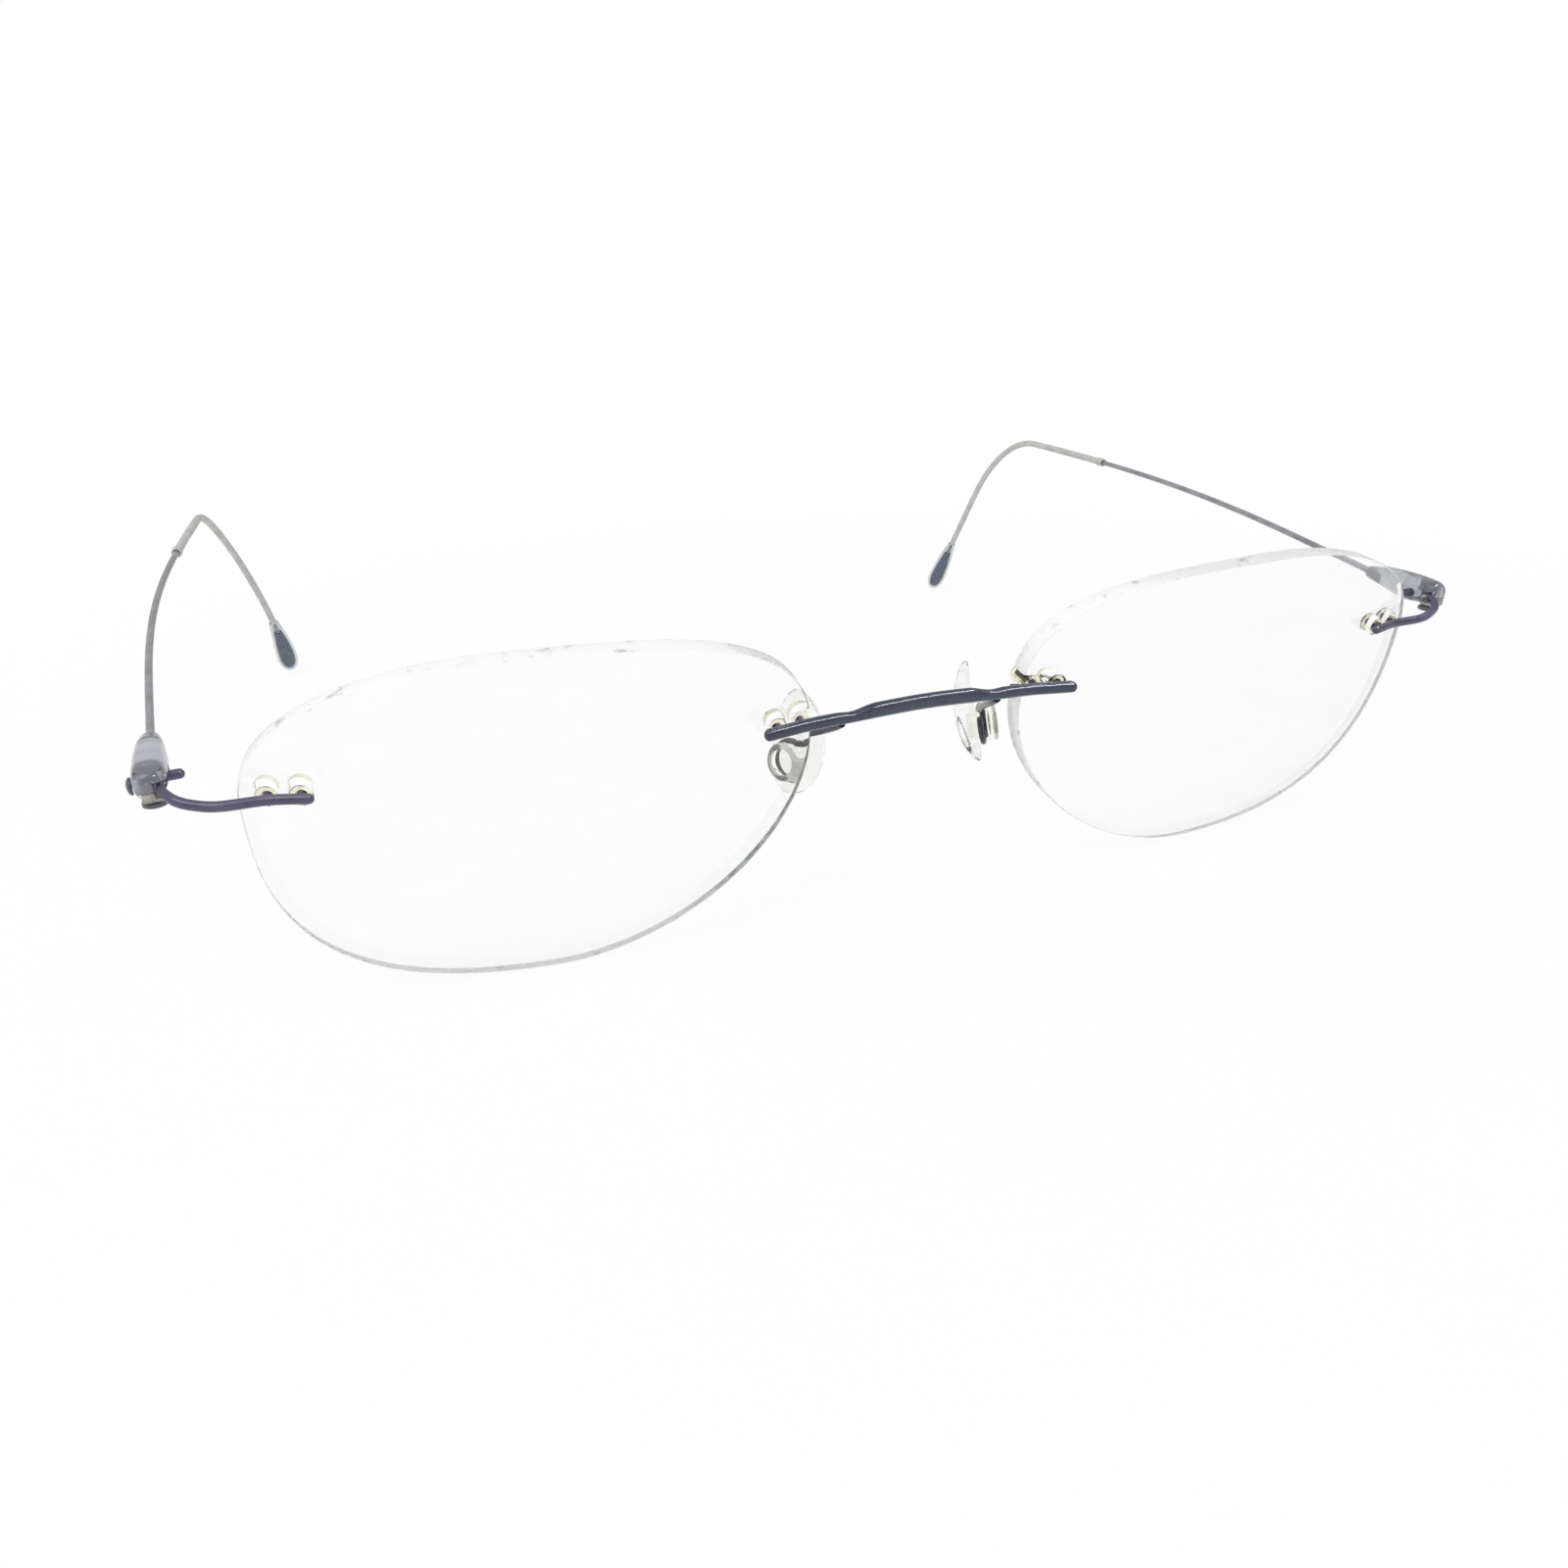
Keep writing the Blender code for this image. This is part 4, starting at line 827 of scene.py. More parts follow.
def lens_cutters():
    """The drilled holes, and the notch that is open to the edge beside the nose."""
    through_lens = 0.004
    hole_radius = BUSHING_RADIUS + FIT
    cutters = []
    for x, z in HOLES:
        start, end = on_lens(x, z, -through_lens), on_lens(x, z, through_lens + LENS_THICKNESS)
        cutters.append(rod(start, end, hole_radius))
    x, z = NOTCH
    front_y = lens_front(x, z)
    cutters.append(box(
        (x - 2 * NOTCH_FROM_NOSE_EDGE, front_y - through_lens, z - hole_radius),
        (x, front_y + LENS_THICKNESS + through_lens, z + hole_radius),
    ))
    return cutters


def collar_seat(x):
    """How far behind the lens's front a collar at x begins, clear of the curved back of the lens."""
    slope = abs(x) / LENS_FACE_RADIUS
    return LENS_THICKNESS + FIT + slope * COLLAR_RADIUS


class EYEGLASSES_OT_lenses(Operator):
    """Make both clear lenses, with ground rims and drilled holes"""

    bl_idname = "eyeglasses.lenses"
    bl_label = "Lenses"

    def execute(self, context):
        face = polished_lens("polished lens", colours().lens)
        rim = ground_edge("ground lens rim", colours().rim, colours().rim_painted_shade)
        for side_name, side in SIDES:
            dress(
                f"lens_{side_name}", lens_mesh(), LENS_FRAME, side, "front", "lens", [face, rim],
                cutters=lens_cutters(), sharp=25,
            )
        return {"FINISHED"}


def bushing_profile(x):
    """(behind the lens's front, radius) round the wall of the bushing in the hole at x."""
    bore = PIN_RADIUS + FIT
    seat = collar_seat(x)
    back = seat + COLLAR_DEPTH
    round_off = COLLAR_EDGE * 0.3
    return (
        (BUSHING_INSET, bore + BUSHING_EDGE),
        (BUSHING_INSET, BUSHING_RADIUS - BUSHING_EDGE),
        (BUSHING_INSET + BUSHING_EDGE, BUSHING_RADIUS),
        (seat, BUSHING_RADIUS),
        (seat, COLLAR_RADIUS - BUSHING_EDGE),
        (seat + BUSHING_EDGE, COLLAR_RADIUS),
        (back - COLLAR_EDGE, COLLAR_RADIUS),
        (back - COLLAR_EDGE + round_off, COLLAR_RADIUS - round_off * 0.3),
        (back - round_off * 0.3, COLLAR_RADIUS - COLLAR_EDGE + round_off),
        (back, COLLAR_RADIUS - COLLAR_EDGE),
        (back, bore),
    )


class EYEGLASSES_OT_bushings(Operator):
    """Make the clear bushings in the drilled holes, with their collars behind the lenses"""

    bl_idname = "eyeglasses.bushings"
    bl_label = "Bushings"

    def execute(self, context):
        finish = clear_plastic("yellowed bushing plastic", colours().bushing, 0.04, 1.0, ior=1.15)
        names = ("nose_outer", "temple_inner", "temple_outer", "nose_inner")
        for name, (x, z) in zip(names, HOLES):
            for side_name, side in SIDES:
                mesh = turned(bushing_profile(x), "Y", closed=True)
                bmesh.ops.translate(mesh, vec=on_lens(x, z), verts=mesh.verts)
                piece = f"bushing_{name}_{side_name}"
                dress(piece, mesh, LENS_FRAME, side, "front", "bushing", [finish])
        return {"FINISHED"}


# Bridge


def bar_line_over_lens(x):
    """The bar's centre where it lies along the lens's front, at a place across the lens."""
    return LENS_MATRIX @ on_lens(x, NOSE_PINS_UP, -BAR_STANDOFF - BAR_END_RADIUS)


BAR_END = bar_line_over_lens(NOSE_HOLE[0] + BAR_OVERHANG)
BAR_LENS_EDGE = bar_line_over_lens(NOTCH[0])


def bar_shape(x):
    """(back, up, half depth, half height) of the bar at a distance from its middle."""
    raised = smooth((BAR_NECK_X - x) / BAR_MIDDLE_BLEND)
    radius = mix(BAR_NECK_RADIUS, BAR_END_RADIUS, smooth((x - BAR_NECK_X) / BAR_SHOULDER))
    half_height = mix(radius, BAR_MIDDLE_HEIGHT / 2 - BAR_SLIMMED, raised)
    half_depth = mix(radius, BAR_MIDDLE_DEPTH / 2, raised)
    share = min(x / BAR_LENS_EDGE.x, 1)
    end_slope = (BAR_END.y - BAR_LENS_EDGE.y) / (BAR_END.x - BAR_LENS_EDGE.x)
    back = mix(BAR_SET_BACK, BAR_LENS_EDGE.y, smooth(share))
    back += BAR_LENS_EDGE.x * end_slope * BAR_ARCH * (share**3 - share**2)
    back += end_slope * max(0, x - BAR_LENS_EDGE.x)
    bottom_middle = NOSE_PINS_UP + BAR_RISE - BAR_MIDDLE_HEIGHT / 2 + BAR_SLIMMED
    bottom_end = NOSE_PINS_UP - NOSE_HOLE_DROP - BAR_END_RADIUS
    bottom = mix(bottom_middle, bottom_end, smooth(x / (BAR_NECK_X + BAR_SHOULDER)))
    return back, bottom + half_height, half_depth, half_height


def bar_ring(x, shrink):
    """The bar's outline at x, drawn in to a share of its size."""
    back, up, half_depth, half_height = bar_shape(abs(x))
    points = ellipse(half_depth * shrink, half_height * shrink, BAR_SIDES, BAR_SQUARENESS)
    return [Vector((x, back + a, up + b)) for a, b in points]


def lens_pin(carrier, hole, standoff, wire_radius):
    """The pin that reaches back from a wire on the lens's front through the bushing in a hole."""
    x, z = hole
    start = on_lens(x, z, -standoff - wire_radius)
    end = on_lens(x, z, collar_seat(x) + COLLAR_DEPTH - FIT)
    return rod(carrier @ start, carrier @ end, PIN_RADIUS, PIN_SIDES)


class EYEGLASSES_OT_bridge(Operator):
    """Make the bridge bar with its four pins"""

    bl_idname = "eyeglasses.bridge"
    bl_label = "Bridge"

    def execute(self, context):
        finish = lacquer(
            "bridge lacquer", colours().bridge, 0.22,
            coat=0.6, grain=0.14, coat_roughness=0.05, coat_ior=1.5,
        )
        end, radius = BAR_END.x, BAR_END_RADIUS
        half = [(end - d, r / radius) for d, r in dome(radius)]
        half += [(x, 1.0) for x in reversed(spread(BAR_SPACING / 2, end - radius, BAR_SPACING))]
        rings = [bar_ring(-x, k) for x, k in half] + [bar_ring(x, k) for x, k in reversed(half)]
        pins = []
        for _, side in SIDES:
            for hole in (NOTCH, NOSE_HOLE):
                pin = lens_pin(LENS_MATRIX, hole, BAR_STANDOFF, BAR_END_RADIUS)
                pins.append(placed(pin, Matrix.Identity(4), side))
        dress("bridge_bar", loft(rings), FRONT_FRAME, 1, "front", "bridge", [finish], pins, "UNION")
        return {"FINISHED"}


# End pieces and hinges


def endpiece_line():
    """The left end piece's wire: along the lens, round the corner, and round the post.

    Gives the line, the corner where the wire starts to thin, and the point where its coil starts.
    """

    def over_lens(x):
        return ON_FRONT @ on_lens(x, TEMPLE_PINS_UP, -FIT - WIRE_RADIUS)

    coil_radius = POST_RADIUS + FIT + COIL_WIRE_RADIUS
    coil = []
    steps_per_turn = 12
    steps = round(COIL_TURNS * steps_per_turn)
    for i in range(steps + 1):
        angle = math.pi - 2 * math.pi * COIL_TURNS * i / steps
        height = COIL_START + COIL_PITCH * COIL_TURNS * i / steps
        coil.append((coil_radius * math.cos(angle), coil_radius * math.sin(angle), height))
    out, back, down = WIRE_BESIDE_LENS
    beside_lens = FRONT @ Vector((LENS_CENTRE_X + TEMPLE_EDGE + out, back, HINGE_UP - down))
    start = INNER_TEMPLE_HOLE[0] - ENDPIECE_OVERHANG
    points = [over_lens(x) for x in (start, INNER_TEMPLE_HOLE[0], OUTER_TEMPLE_HOLE[0])]
    points.append(beside_lens)
    points += [HINGE + Vector(p) for p in (*WIRE_CORNER, *coil)]
    return through(points), HINGE + Vector(WIRE_CORNER[1]), HINGE + Vector(coil[0])


def nearest_distance(line, target):
    """How far along the line its nearest point to the target lies."""
    step = 0.0002
    places = spread(0, length_of(line), step)
    return min(places, key=lambda distance: (point_at(line, distance) - target).length)


def softened(line, reach, until):
    """The line with its corners eased over a reach, as far as a distance along it."""
    step = 0.0001
    places = spread(0, length_of(line), step)
    points = [point_at(line, distance) for distance in places]
    eased = []
    for i, distance in enumerate(places):
        window = min(reach, distance, max(0, until - distance))
        count = min(round(window / step), i, len(points) - 1 - i)
        near = points[i - count:i + count + 1]
        eased.append(sum(near, Vector()) / len(near))
    return eased


def endpiece_mesh():
    line, corner, coil_start = endpiece_line()
    line = softened(line, CORNER_EASING, nearest_distance(line, coil_start))
    total = length_of(line)
    thinning, coil = nearest_distance(line, corner), nearest_distance(line, coil_start)
    stations = dome(WIRE_RADIUS)
    for distance in spread(WIRE_RADIUS, total - COIL_WIRE_RADIUS, ENDPIECE_SPACING):
        share = smooth((distance - thinning) / (coil - thinning))
        stations.append((distance, mix(WIRE_RADIUS, COIL_WIRE_RADIUS, share)))
    stations += [(total - d, r) for d, r in reversed(dome(COIL_WIRE_RADIUS))]
    return loft(rolled_sections(line, stations))


def post_profile():
    """(height, radius) up the post, from the underside of its foot."""
    foot_top = -FOOT_BELOW
    foot_bottom = foot_top - FOOT_THICKNESS
    post_top = COIL_PITCH * COIL_TURNS + COIL_WIRE_RADIUS
    edge = FOOT_THICKNESS / 3
    profile = [
        (foot_bottom, FOOT_RADIUS - 2 * edge),
        (foot_bottom + edge / 2, FOOT_RADIUS - edge / 2),
        (foot_bottom + edge, FOOT_RADIUS),
    ]
    for angle in map(math.radians, (0, 18, 36, 54, 72, 90)):
        height = foot_top - edge * (1 - math.sin(angle))
        profile.append((height, FOOT_RADIUS - edge * (1 - math.cos(angle))))
    profile += [(foot_top, POST_RADIUS), (post_top - POST_RADIUS / 3, POST_RADIUS)]
    profile += [(post_top, POST_RADIUS * 2 / 3)]
    return profile


class EYEGLASSES_OT_endpieces(Operator):
    """Make the end piece wires that coil round the hinge posts, and the posts on their feet"""

    bl_idname = "eyeglasses.endpieces"
    bl_label = "End pieces"

    def execute(self, context):
        wire = lacquer("end piece lacquer", colours().endpiece, 0.27, settings().gloss, grain=0.12)
        dark = lacquer("hinge post lacquer", colours().post, 0.34, settings().gloss, grain=0.08)
        for side_name, side in SIDES:
            holes = (INNER_TEMPLE_HOLE, OUTER_TEMPLE_HOLE)
            pins = [lens_pin(ON_FRONT, hole, FIT, WIRE_RADIUS) for hole in holes]
            dress(
                f"endpiece_{side_name}", endpiece_mesh(), GLASSES, side, "front", "endpiece", [wire],
                pins, "UNION",
            )
            post = turned(post_profile(), "Z")
            dress(
                f"hinge_post_{side_name}", post, HOUSING_FRAME, side, "front", "hinge_post", [dark],
                sharp=50,
            )
        return {"FINISHED"}


def housing_sections():
    """Rings of the housing about its own axis.

    Shares run from 0 to 1 along the head round the hinge and on to 2 along the tail, and over the
    housing's width and height.
    """
    profile = (
        (0.000, 0.40, 0.40, -0.03),
        (0.024, 0.64, 0.62, -0.02),
        (0.080, 0.84, 0.78, -0.01),
        (0.200, 0.94, 0.86, 0.00),
        (0.400, 0.99, 0.93, -0.01),
        (0.680, 1.00, 1.00, -0.04),
        (0.980, 0.98, 0.99, -0.05),
        (1.280, 0.91, 0.89, -0.04),
        (1.560, 0.81, 0.74, -0.01),
        (1.800, 0.69, 0.58, REAR_LIFT),
        (1.930, 0.61, 0.50, REAR_LIFT),
        (2.000, 0.52, 0.44, REAR_LIFT),
    )
    tail = HOUSING_LENGTH - HOUSING_HEAD
    rings = []
    for along, width, height, lift in profile:
        back = min(along, 1) * HOUSING_HEAD + max(along - 1, 0) * tail
        middle = housing_axis(back) + lift * HOUSING_HEIGHT
        half_width, half_height = width * HOUSING_WIDTH / 2, height * HOUSING_HEIGHT / 2
        shape = ellipse(half_width, half_height, HOUSING_SIDES, HOUSING_SQUARENESS)
        rings.append([Vector((a, back - HOUSING_FRONT, middle + b)) for a, b in shape])
    return rings


def housing_axis(back):
    """Height of the housing's axis above the hinge's middle, at a distance from the housing's front."""
    return math.tan(math.radians(HOUSING_PITCH)) * (back - HOUSING_FRONT)


def wire_relief(low, high, reach):
    """The wedge round the post that the end piece's wire sweeps through as the temple folds."""
    outline = [(0.0, 0.0)]
    steps = 8
    for i in range(steps + 1):
        angle = math.radians(mix(RELIEF_START, RELIEF_END, i / steps))
        outline.append((reach * math.cos(angle), reach * math.sin(angle)))
    return prism(outline, low, high)


def ferrule_point(behind_rear):
    """A point on the ferrule's axis, in the housing's frame, at a distance behind its rear face."""
    rise = math.radians(TEMPLE_RISE_START)
    direction = Vector((0, math.cos(rise), math.sin(rise)))
    rear_middle = housing_axis(HOUSING_LENGTH) + REAR_LIFT * HOUSING_HEIGHT
    return Vector((0, HOUSING_LENGTH - HOUSING_FRONT, rear_middle)) + direction * behind_rear


def end_cap(ring, share, bulge):
    """The ring drawn in to a share of its size, and pushed out by part of the bulge."""
    middle = sum(ring, Vector()) / len(ring)
    push = Vector((0, bulge * (1 - share), 0))
    return [middle + (p - middle) * share + push for p in ring]


def fine_housing():
    """The housing's rings made smooth along it, with softly domed ends."""
    coarse = housing_sections()
    lines = [through(points, 6) for points in zip(*coarse)]
    rings = [list(ring) for ring in zip(*lines)]
    for share in (0.75, 0.45):
        rings.insert(0, end_cap(coarse[0], share, -FRONT_BULGE))
        rings.append(end_cap(coarse[-1], share, REAR_BULGE))
    return loft(rings)


def housing_cutters():
    """The hollow for the coil, the wire's way out, the block's window, and the two bores."""
    far = HOUSING_WIDTH
    return [
        bore_cutter(CAVITY_RADIUS, -far, CAVITY_TOP, "Z"),
        wire_relief(RELIEF_BOTTOM, RELIEF_TOP, 1.2 * HOUSING_WIDTH),
        box(
            (-BLOCK_HALF_WIDTH - FIT, -far, -far),
            (BLOCK_HALF_WIDTH + FIT, -BLOCK_WINDOW_FORWARD, BLOCK_BOTTOM + BLOCK_HEIGHT + FIT),
        ),
        rod(
            Vector((-far, CROSS_PIN_BACK, -CROSS_PIN_DOWN)),
            Vector((far, CROSS_PIN_BACK, -CROSS_PIN_DOWN)),
            CROSS_PIN_RADIUS + FIT,
        ),
        rod(ferrule_point(-FERRULE_LENGTH - FIT), ferrule_point(FERRULE_LENGTH), FERRULE_RADIUS + FIT),
    ]


def bearing_block_mesh():
    low = (-BLOCK_HALF_WIDTH, -HOUSING_FRONT + FIT, BLOCK_BOTTOM)
    high = (BLOCK_HALF_WIDTH, BLOCK_BACK, BLOCK_BOTTOM + BLOCK_HEIGHT)
    mesh = box(low, high)
    edges = mesh.edges[:]
    bmesh.ops.bevel(mesh, geom=edges, offset=BLOCK_BEVEL, segments=3, profile=0.5, affect="EDGES")
    return mesh


def cross_pin_mesh():
    """The pin's shank, and the domed head that is joined on its outer end."""
    face = HOUSING_WIDTH / 2 + FIT
    rise = CROSS_PIN_OUTER - face
    shank = [(-CROSS_PIN_INNER + d, r) for d, r in dome(CROSS_PIN_RADIUS)]
    shank += [(x, CROSS_PIN_RADIUS) for x in (-CROSS_PIN_INNER + CROSS_PIN_RADIUS, face + rise / 2)]
    mesh = turned(shank, "X")
    bmesh.ops.translate(mesh, vec=(0, CROSS_PIN_BACK, -CROSS_PIN_DOWN), verts=mesh.verts)
    profile = [(face, CROSS_PIN_HEAD * 0.92), (face + rise * 0.08, CROSS_PIN_HEAD * 0.97)]
    dome_start = 0.2
    steps = 12
    for i in range(1, steps):
        angle = math.pi / 2 * i / steps
        outward = mix(dome_start, 1, math.sin(angle))
        profile.append((face + rise * outward, CROSS_PIN_HEAD * math.cos(angle)))
    head = turned(profile, "X")
    middle = (0, CROSS_PIN_BACK - CROSS_PIN_HEAD_FORWARD, -CROSS_PIN_DOWN - CROSS_PIN_HEAD_DROP)
    bmesh.ops.translate(head, vec=middle, verts=head.verts)
    return mesh, head


class EYEGLASSES_OT_hinges(Operator):
    """Make the see-through hinge housings with their bearing blocks and cross pins"""

    bl_idname = "eyeglasses.hinges"
    bl_label = "Hinge housings"

    def execute(self, context):
        shell = clear_plastic(
            "smoke housing plastic", colours().housing, 0.07, 0.78, cloud=0.72, stretch=(0.15, 1.0, 0.15)
        )
        amber = clear_plastic("bearing plastic", colours().block, 0.25, 0.55)
        dark = lacquer("cross pin lacquer", colours().cross_pin, 0.24, settings().gloss)
        for side_name, side in SIDES:
            body = f"temple_{side_name}"
            dress(
                f"hinge_housing_{side_name}", fine_housing(), HOUSING_FRAME, side, body, "hinge_housing",
                [shell], housing_cutters(), sharp=45,
            )
            cutters = [
                bore_cutter(POST_RADIUS + FIT, -HOUSING_WIDTH, HOUSING_WIDTH, "Z"),
                wire_relief(RELIEF_BOTTOM, RELIEF_TOP, HOUSING_WIDTH),
            ]
            dress(
                f"bearing_block_{side_name}", bearing_block_mesh(), HOUSING_FRAME, side, body,
                "bearing_block", [amber], cutters,
            )
            shank, head = cross_pin_mesh()
            dress(
                f"cross_pin_{side_name}", shank, HOUSING_FRAME, side, body, "cross_pin", [dark],
                [head], "UNION",
            )
        return {"FINISHED"}


# Temples


def temple_line():
    """The left temple's centre line from the back of its housing to its tip, in the hinge's frame.

    It rises and bows outward at first, then turns down behind the ear to the height of the lens bottoms.
    """
    point = Euler(HOUSING_TURN).to_matrix() @ ferrule_point(0)
    line = [point.copy()]
    step = 0.0005
    bend = BEND_RADIUS * math.radians(TEMPLE_RISE_END - DROP_ANGLE)
    travelled = 0.0
    while HINGE.z + point.z > TIP_END_RISE:
        past_run = travelled - TEMPLE_RUN
        past_bend = past_run - bend
        pitch = mix(TEMPLE_RISE_START, TEMPLE_RISE_END, min(travelled / TEMPLE_RUN, 1))
        bowed = smooth((travelled / TEMPLE_RUN - TEMPLE_BOW_AFTER) / TEMPLE_BOW_OVER)
        out = mix(TEMPLE_BOW_START, TEMPLE_BOW_END, bowed)
        if past_run > 0:
            pitch = mix(TEMPLE_RISE_END, DROP_ANGLE, min(past_run / bend, 1))
            out = mix(TEMPLE_BOW_END, DROP_TURN_IN, smooth(past_run / bend))
        if past_bend > 0:
            pitch = DROP_ANGLE + DROP_CURVE * past_bend
            out = DROP_TURN_IN + DROP_TURN_BACK * past_bend
        pitch, out = math.radians(pitch), math.radians(out)
        level = math.cos(out)
        forward = Vector((math.sin(out), level * math.cos(pitch), level * math.sin(pitch)))
        point = point + forward * step
        travelled += step
        line.append(point.copy())
    return line


def temple_wire_mesh(line, tip_start):
    """The wire from inside the ferrule to inside the tip, with a thinner core under the sleeve."""
    tail = FERRULE_RADIUS - FERRULE_WALL - FIT
    stations = [(-FERRULE_LENGTH, tail), (-FIT / 2, tail), (FIT, TEMPLE_WIRE_RADIUS)]
    stations += [(d, TEMPLE_WIRE_RADIUS) for d in spread(2 * FIT, NARROWING_START, BARE_SPACING)]
    lacquered = len(stations)
    core_reach = tip_start + TIP_LENGTH * WIRE_IN_TIP
    stations += [(d, CORE_WIRE_RADIUS) for d in spread(NARROWING_END, core_reach, COVERED_SPACING)]
    return loft(rolled_sections(line, stations), second_finish=range(lacquered, len(stations)))


def ferrule_mesh(line):
    bore = FERRULE_RADIUS - FERRULE_WALL
    outer = [(-FERRULE_LENGTH, FERRULE_RADIUS), (-1.2 * FIT, FERRULE_RADIUS)]
    inner = [(d, bore) for d, _ in reversed(outer)]
    rings = rolled_sections(line, outer, FERRULE_SIDES) + rolled_sections(line, inner, FERRULE_SIDES)
    return loft(rings, closed=True)


def sleeve_mesh(line, sleeve_end):
    """The sleeve: a thicker mouth that steps down to a thin tube as far as the tip."""
    step_end = SLEEVE_START + SLEEVE_STEP
    outer = [
        (SLEEVE_START, SLEEVE_FRONT_RADIUS - SLEEVE_EDGE),
        (SLEEVE_START + SLEEVE_EDGE * 0.3, SLEEVE_FRONT_RADIUS - SLEEVE_EDGE * 0.4),
        (SLEEVE_START + SLEEVE_EDGE, SLEEVE_FRONT_RADIUS),
        (step_end - SLEEVE_EDGE, SLEEVE_FRONT_RADIUS),
        (step_end + SLEEVE_EDGE * 3, SLEEVE_RADIUS),
    ]
    tube_start = step_end + SLEEVE_EDGE * 5
    outer += [(d, SLEEVE_RADIUS) for d in spread(tube_start, sleeve_end, COVERED_SPACING)]
    bore = CORE_WIRE_RADIUS + FIT
    inner = [(SLEEVE_START, TEMPLE_WIRE_RADIUS + FIT), (NARROWING_END, bore)]
    inner += [(d, bore) for d, _ in outer[2:]]
    rings = rolled_sections(line, outer) + list(reversed(rolled_sections(line, inner)))
    return loft(rings, closed=True)


def tip_share(share):
    """Width of the tip, as a share of its widest, at a share of its length."""
    if share < TIP_WIDEST:
        return mix(TIP_START_SHARE, 1.0, math.sin(math.pi / 2 * share / TIP_WIDEST))
    return math.sqrt(max(0, 1 - ((share - TIP_WIDEST) / (1 - TIP_WIDEST)) ** 2.2))


def tip_hollow(share):
    """(half width, half depth) of the cover's hollow: a channel for the wire, then room for the core."""
    channel = CORE_WIRE_RADIUS + FIT
    return [max(channel, tip_share(share) * size / 2 - TIP_WALL) for size in (TIP_WIDTH, TIP_DEPTH)]


# Shares of the tip's length at which its hollow is drawn, and those that close its round end.
HOLLOW_SHARES = [i / 40 for i in range(37)]
END_SHARES = [0.915, 0.93, 0.945, 0.958, 0.97, 0.979, 0.986, 0.991]


def tip_skin(line, hollow, outer, sides):
    """A skin up the hollow from its closed end to its mouth, and back along the outside."""
    return loft(sections_along(line, reversed(hollow), sides) + sections_along(line, outer, sides))


def tip_cover_mesh(line, tip_start):
    """The clear cover, hollow for the core and closed at its end."""
    outer = []
    for share in HOLLOW_SHARES + END_SHARES:
        swell = tip_share(share)
        outer.append((tip_start + TIP_LENGTH * share, swell * TIP_WIDTH / 2, swell * TIP_DEPTH / 2))
    hollow = [(tip_start + TIP_LENGTH * share, *tip_hollow(share)) for share in HOLLOW_SHARES]
    return tip_skin(line, hollow, outer, TIP_SIDES)


def tip_core_mesh(line, tip_start):
    """The dark core that fills the cover's hollow, with a bore for the wire's end."""
    core = []
    for share in HOLLOW_SHARES:
        if share >= CORE_START:
            width, depth = tip_hollow(share)
            core.append((tip_start + TIP_LENGTH * share - FIT, width - FIT, depth - FIT))
    room = CORE_WIRE_RADIUS + FIT
    bore_end = tip_start + TIP_LENGTH * WIRE_IN_TIP + FIT
    bore = [(d, room, room) for d in spread(core[0][0], bore_end, COVERED_SPACING)]
    return tip_skin(line, bore, core, CORE_SIDES)


class EYEGLASSES_OT_temples(Operator):
    """Make the temple wires, their ferrules, the ear sleeves and the tips"""

    bl_idname = "eyeglasses.temples"
    bl_label = "Temples"

    def execute(self, context):
        wire = lacquer("temple lacquer", colours().wire, 0.34, settings().gloss * 0.5)
        bare_wire = lacquer("bare wire in the sleeve", colours().bare_wire, 0.40, coat=0.0, grain=0.06)
        ferrule = satin_metal("ferrule metal", colours().ferrule, 0.30)
        sleeve = silicone("sleeve silicone", colours().sleeve, 0.48)
        cover = clear_plastic(
            "tip cover silicone", colours().tip, 0.03, transmission=1.0, ior=1.08, cloud=0.95, bump=0.0
        )
        core = silicone("tip core plastic", colours().tip_core, 0.42, bump=0.02)
        line = temple_line()
        tip_start = length_of(line) - TIP_LENGTH
        for side_name, side in SIDES:
            body = f"temple_{side_name}"
            pieces = (
                ("temple_wire", temple_wire_mesh(line, tip_start), "temple_wire", [wire, bare_wire]),
                ("wire_ferrule", ferrule_mesh(line), "ferrule", [ferrule]),
                ("ear_sleeve", sleeve_mesh(line, tip_start - FIT), "ear_sleeve", [sleeve]),
                ("temple_tip", tip_cover_mesh(line, tip_start), "temple_tip", [cover]),
                ("tip_core", tip_core_mesh(line, tip_start), "tip_core", [core]),
            )
            for node, mesh, slot, finishes in pieces:
                dress(f"{node}_{side_name}", mesh, HINGE_FRAME, side, body, slot, finishes, sharp=60)
        return {"FINISHED"}


# Nose pads


def bow(z, radius):
    """How far a curve of that radius has fallen away at a height, from the pad's middle."""
    offset = z - PAD_ABOVE_EYE
    return radius - math.sqrt(radius**2 - offset**2)


def pad_back(z):
    """Where the pad's back lies at a height above the eye; +x of its frame is away from the nose."""
    return PAD_BACK_PLACE + bow(z, PAD_BACK_RADIUS)


def pad_face(z):
    return PAD_BACK_PLACE - PAD_THICKNESS + bow(z, PAD_FACE_RADIUS)


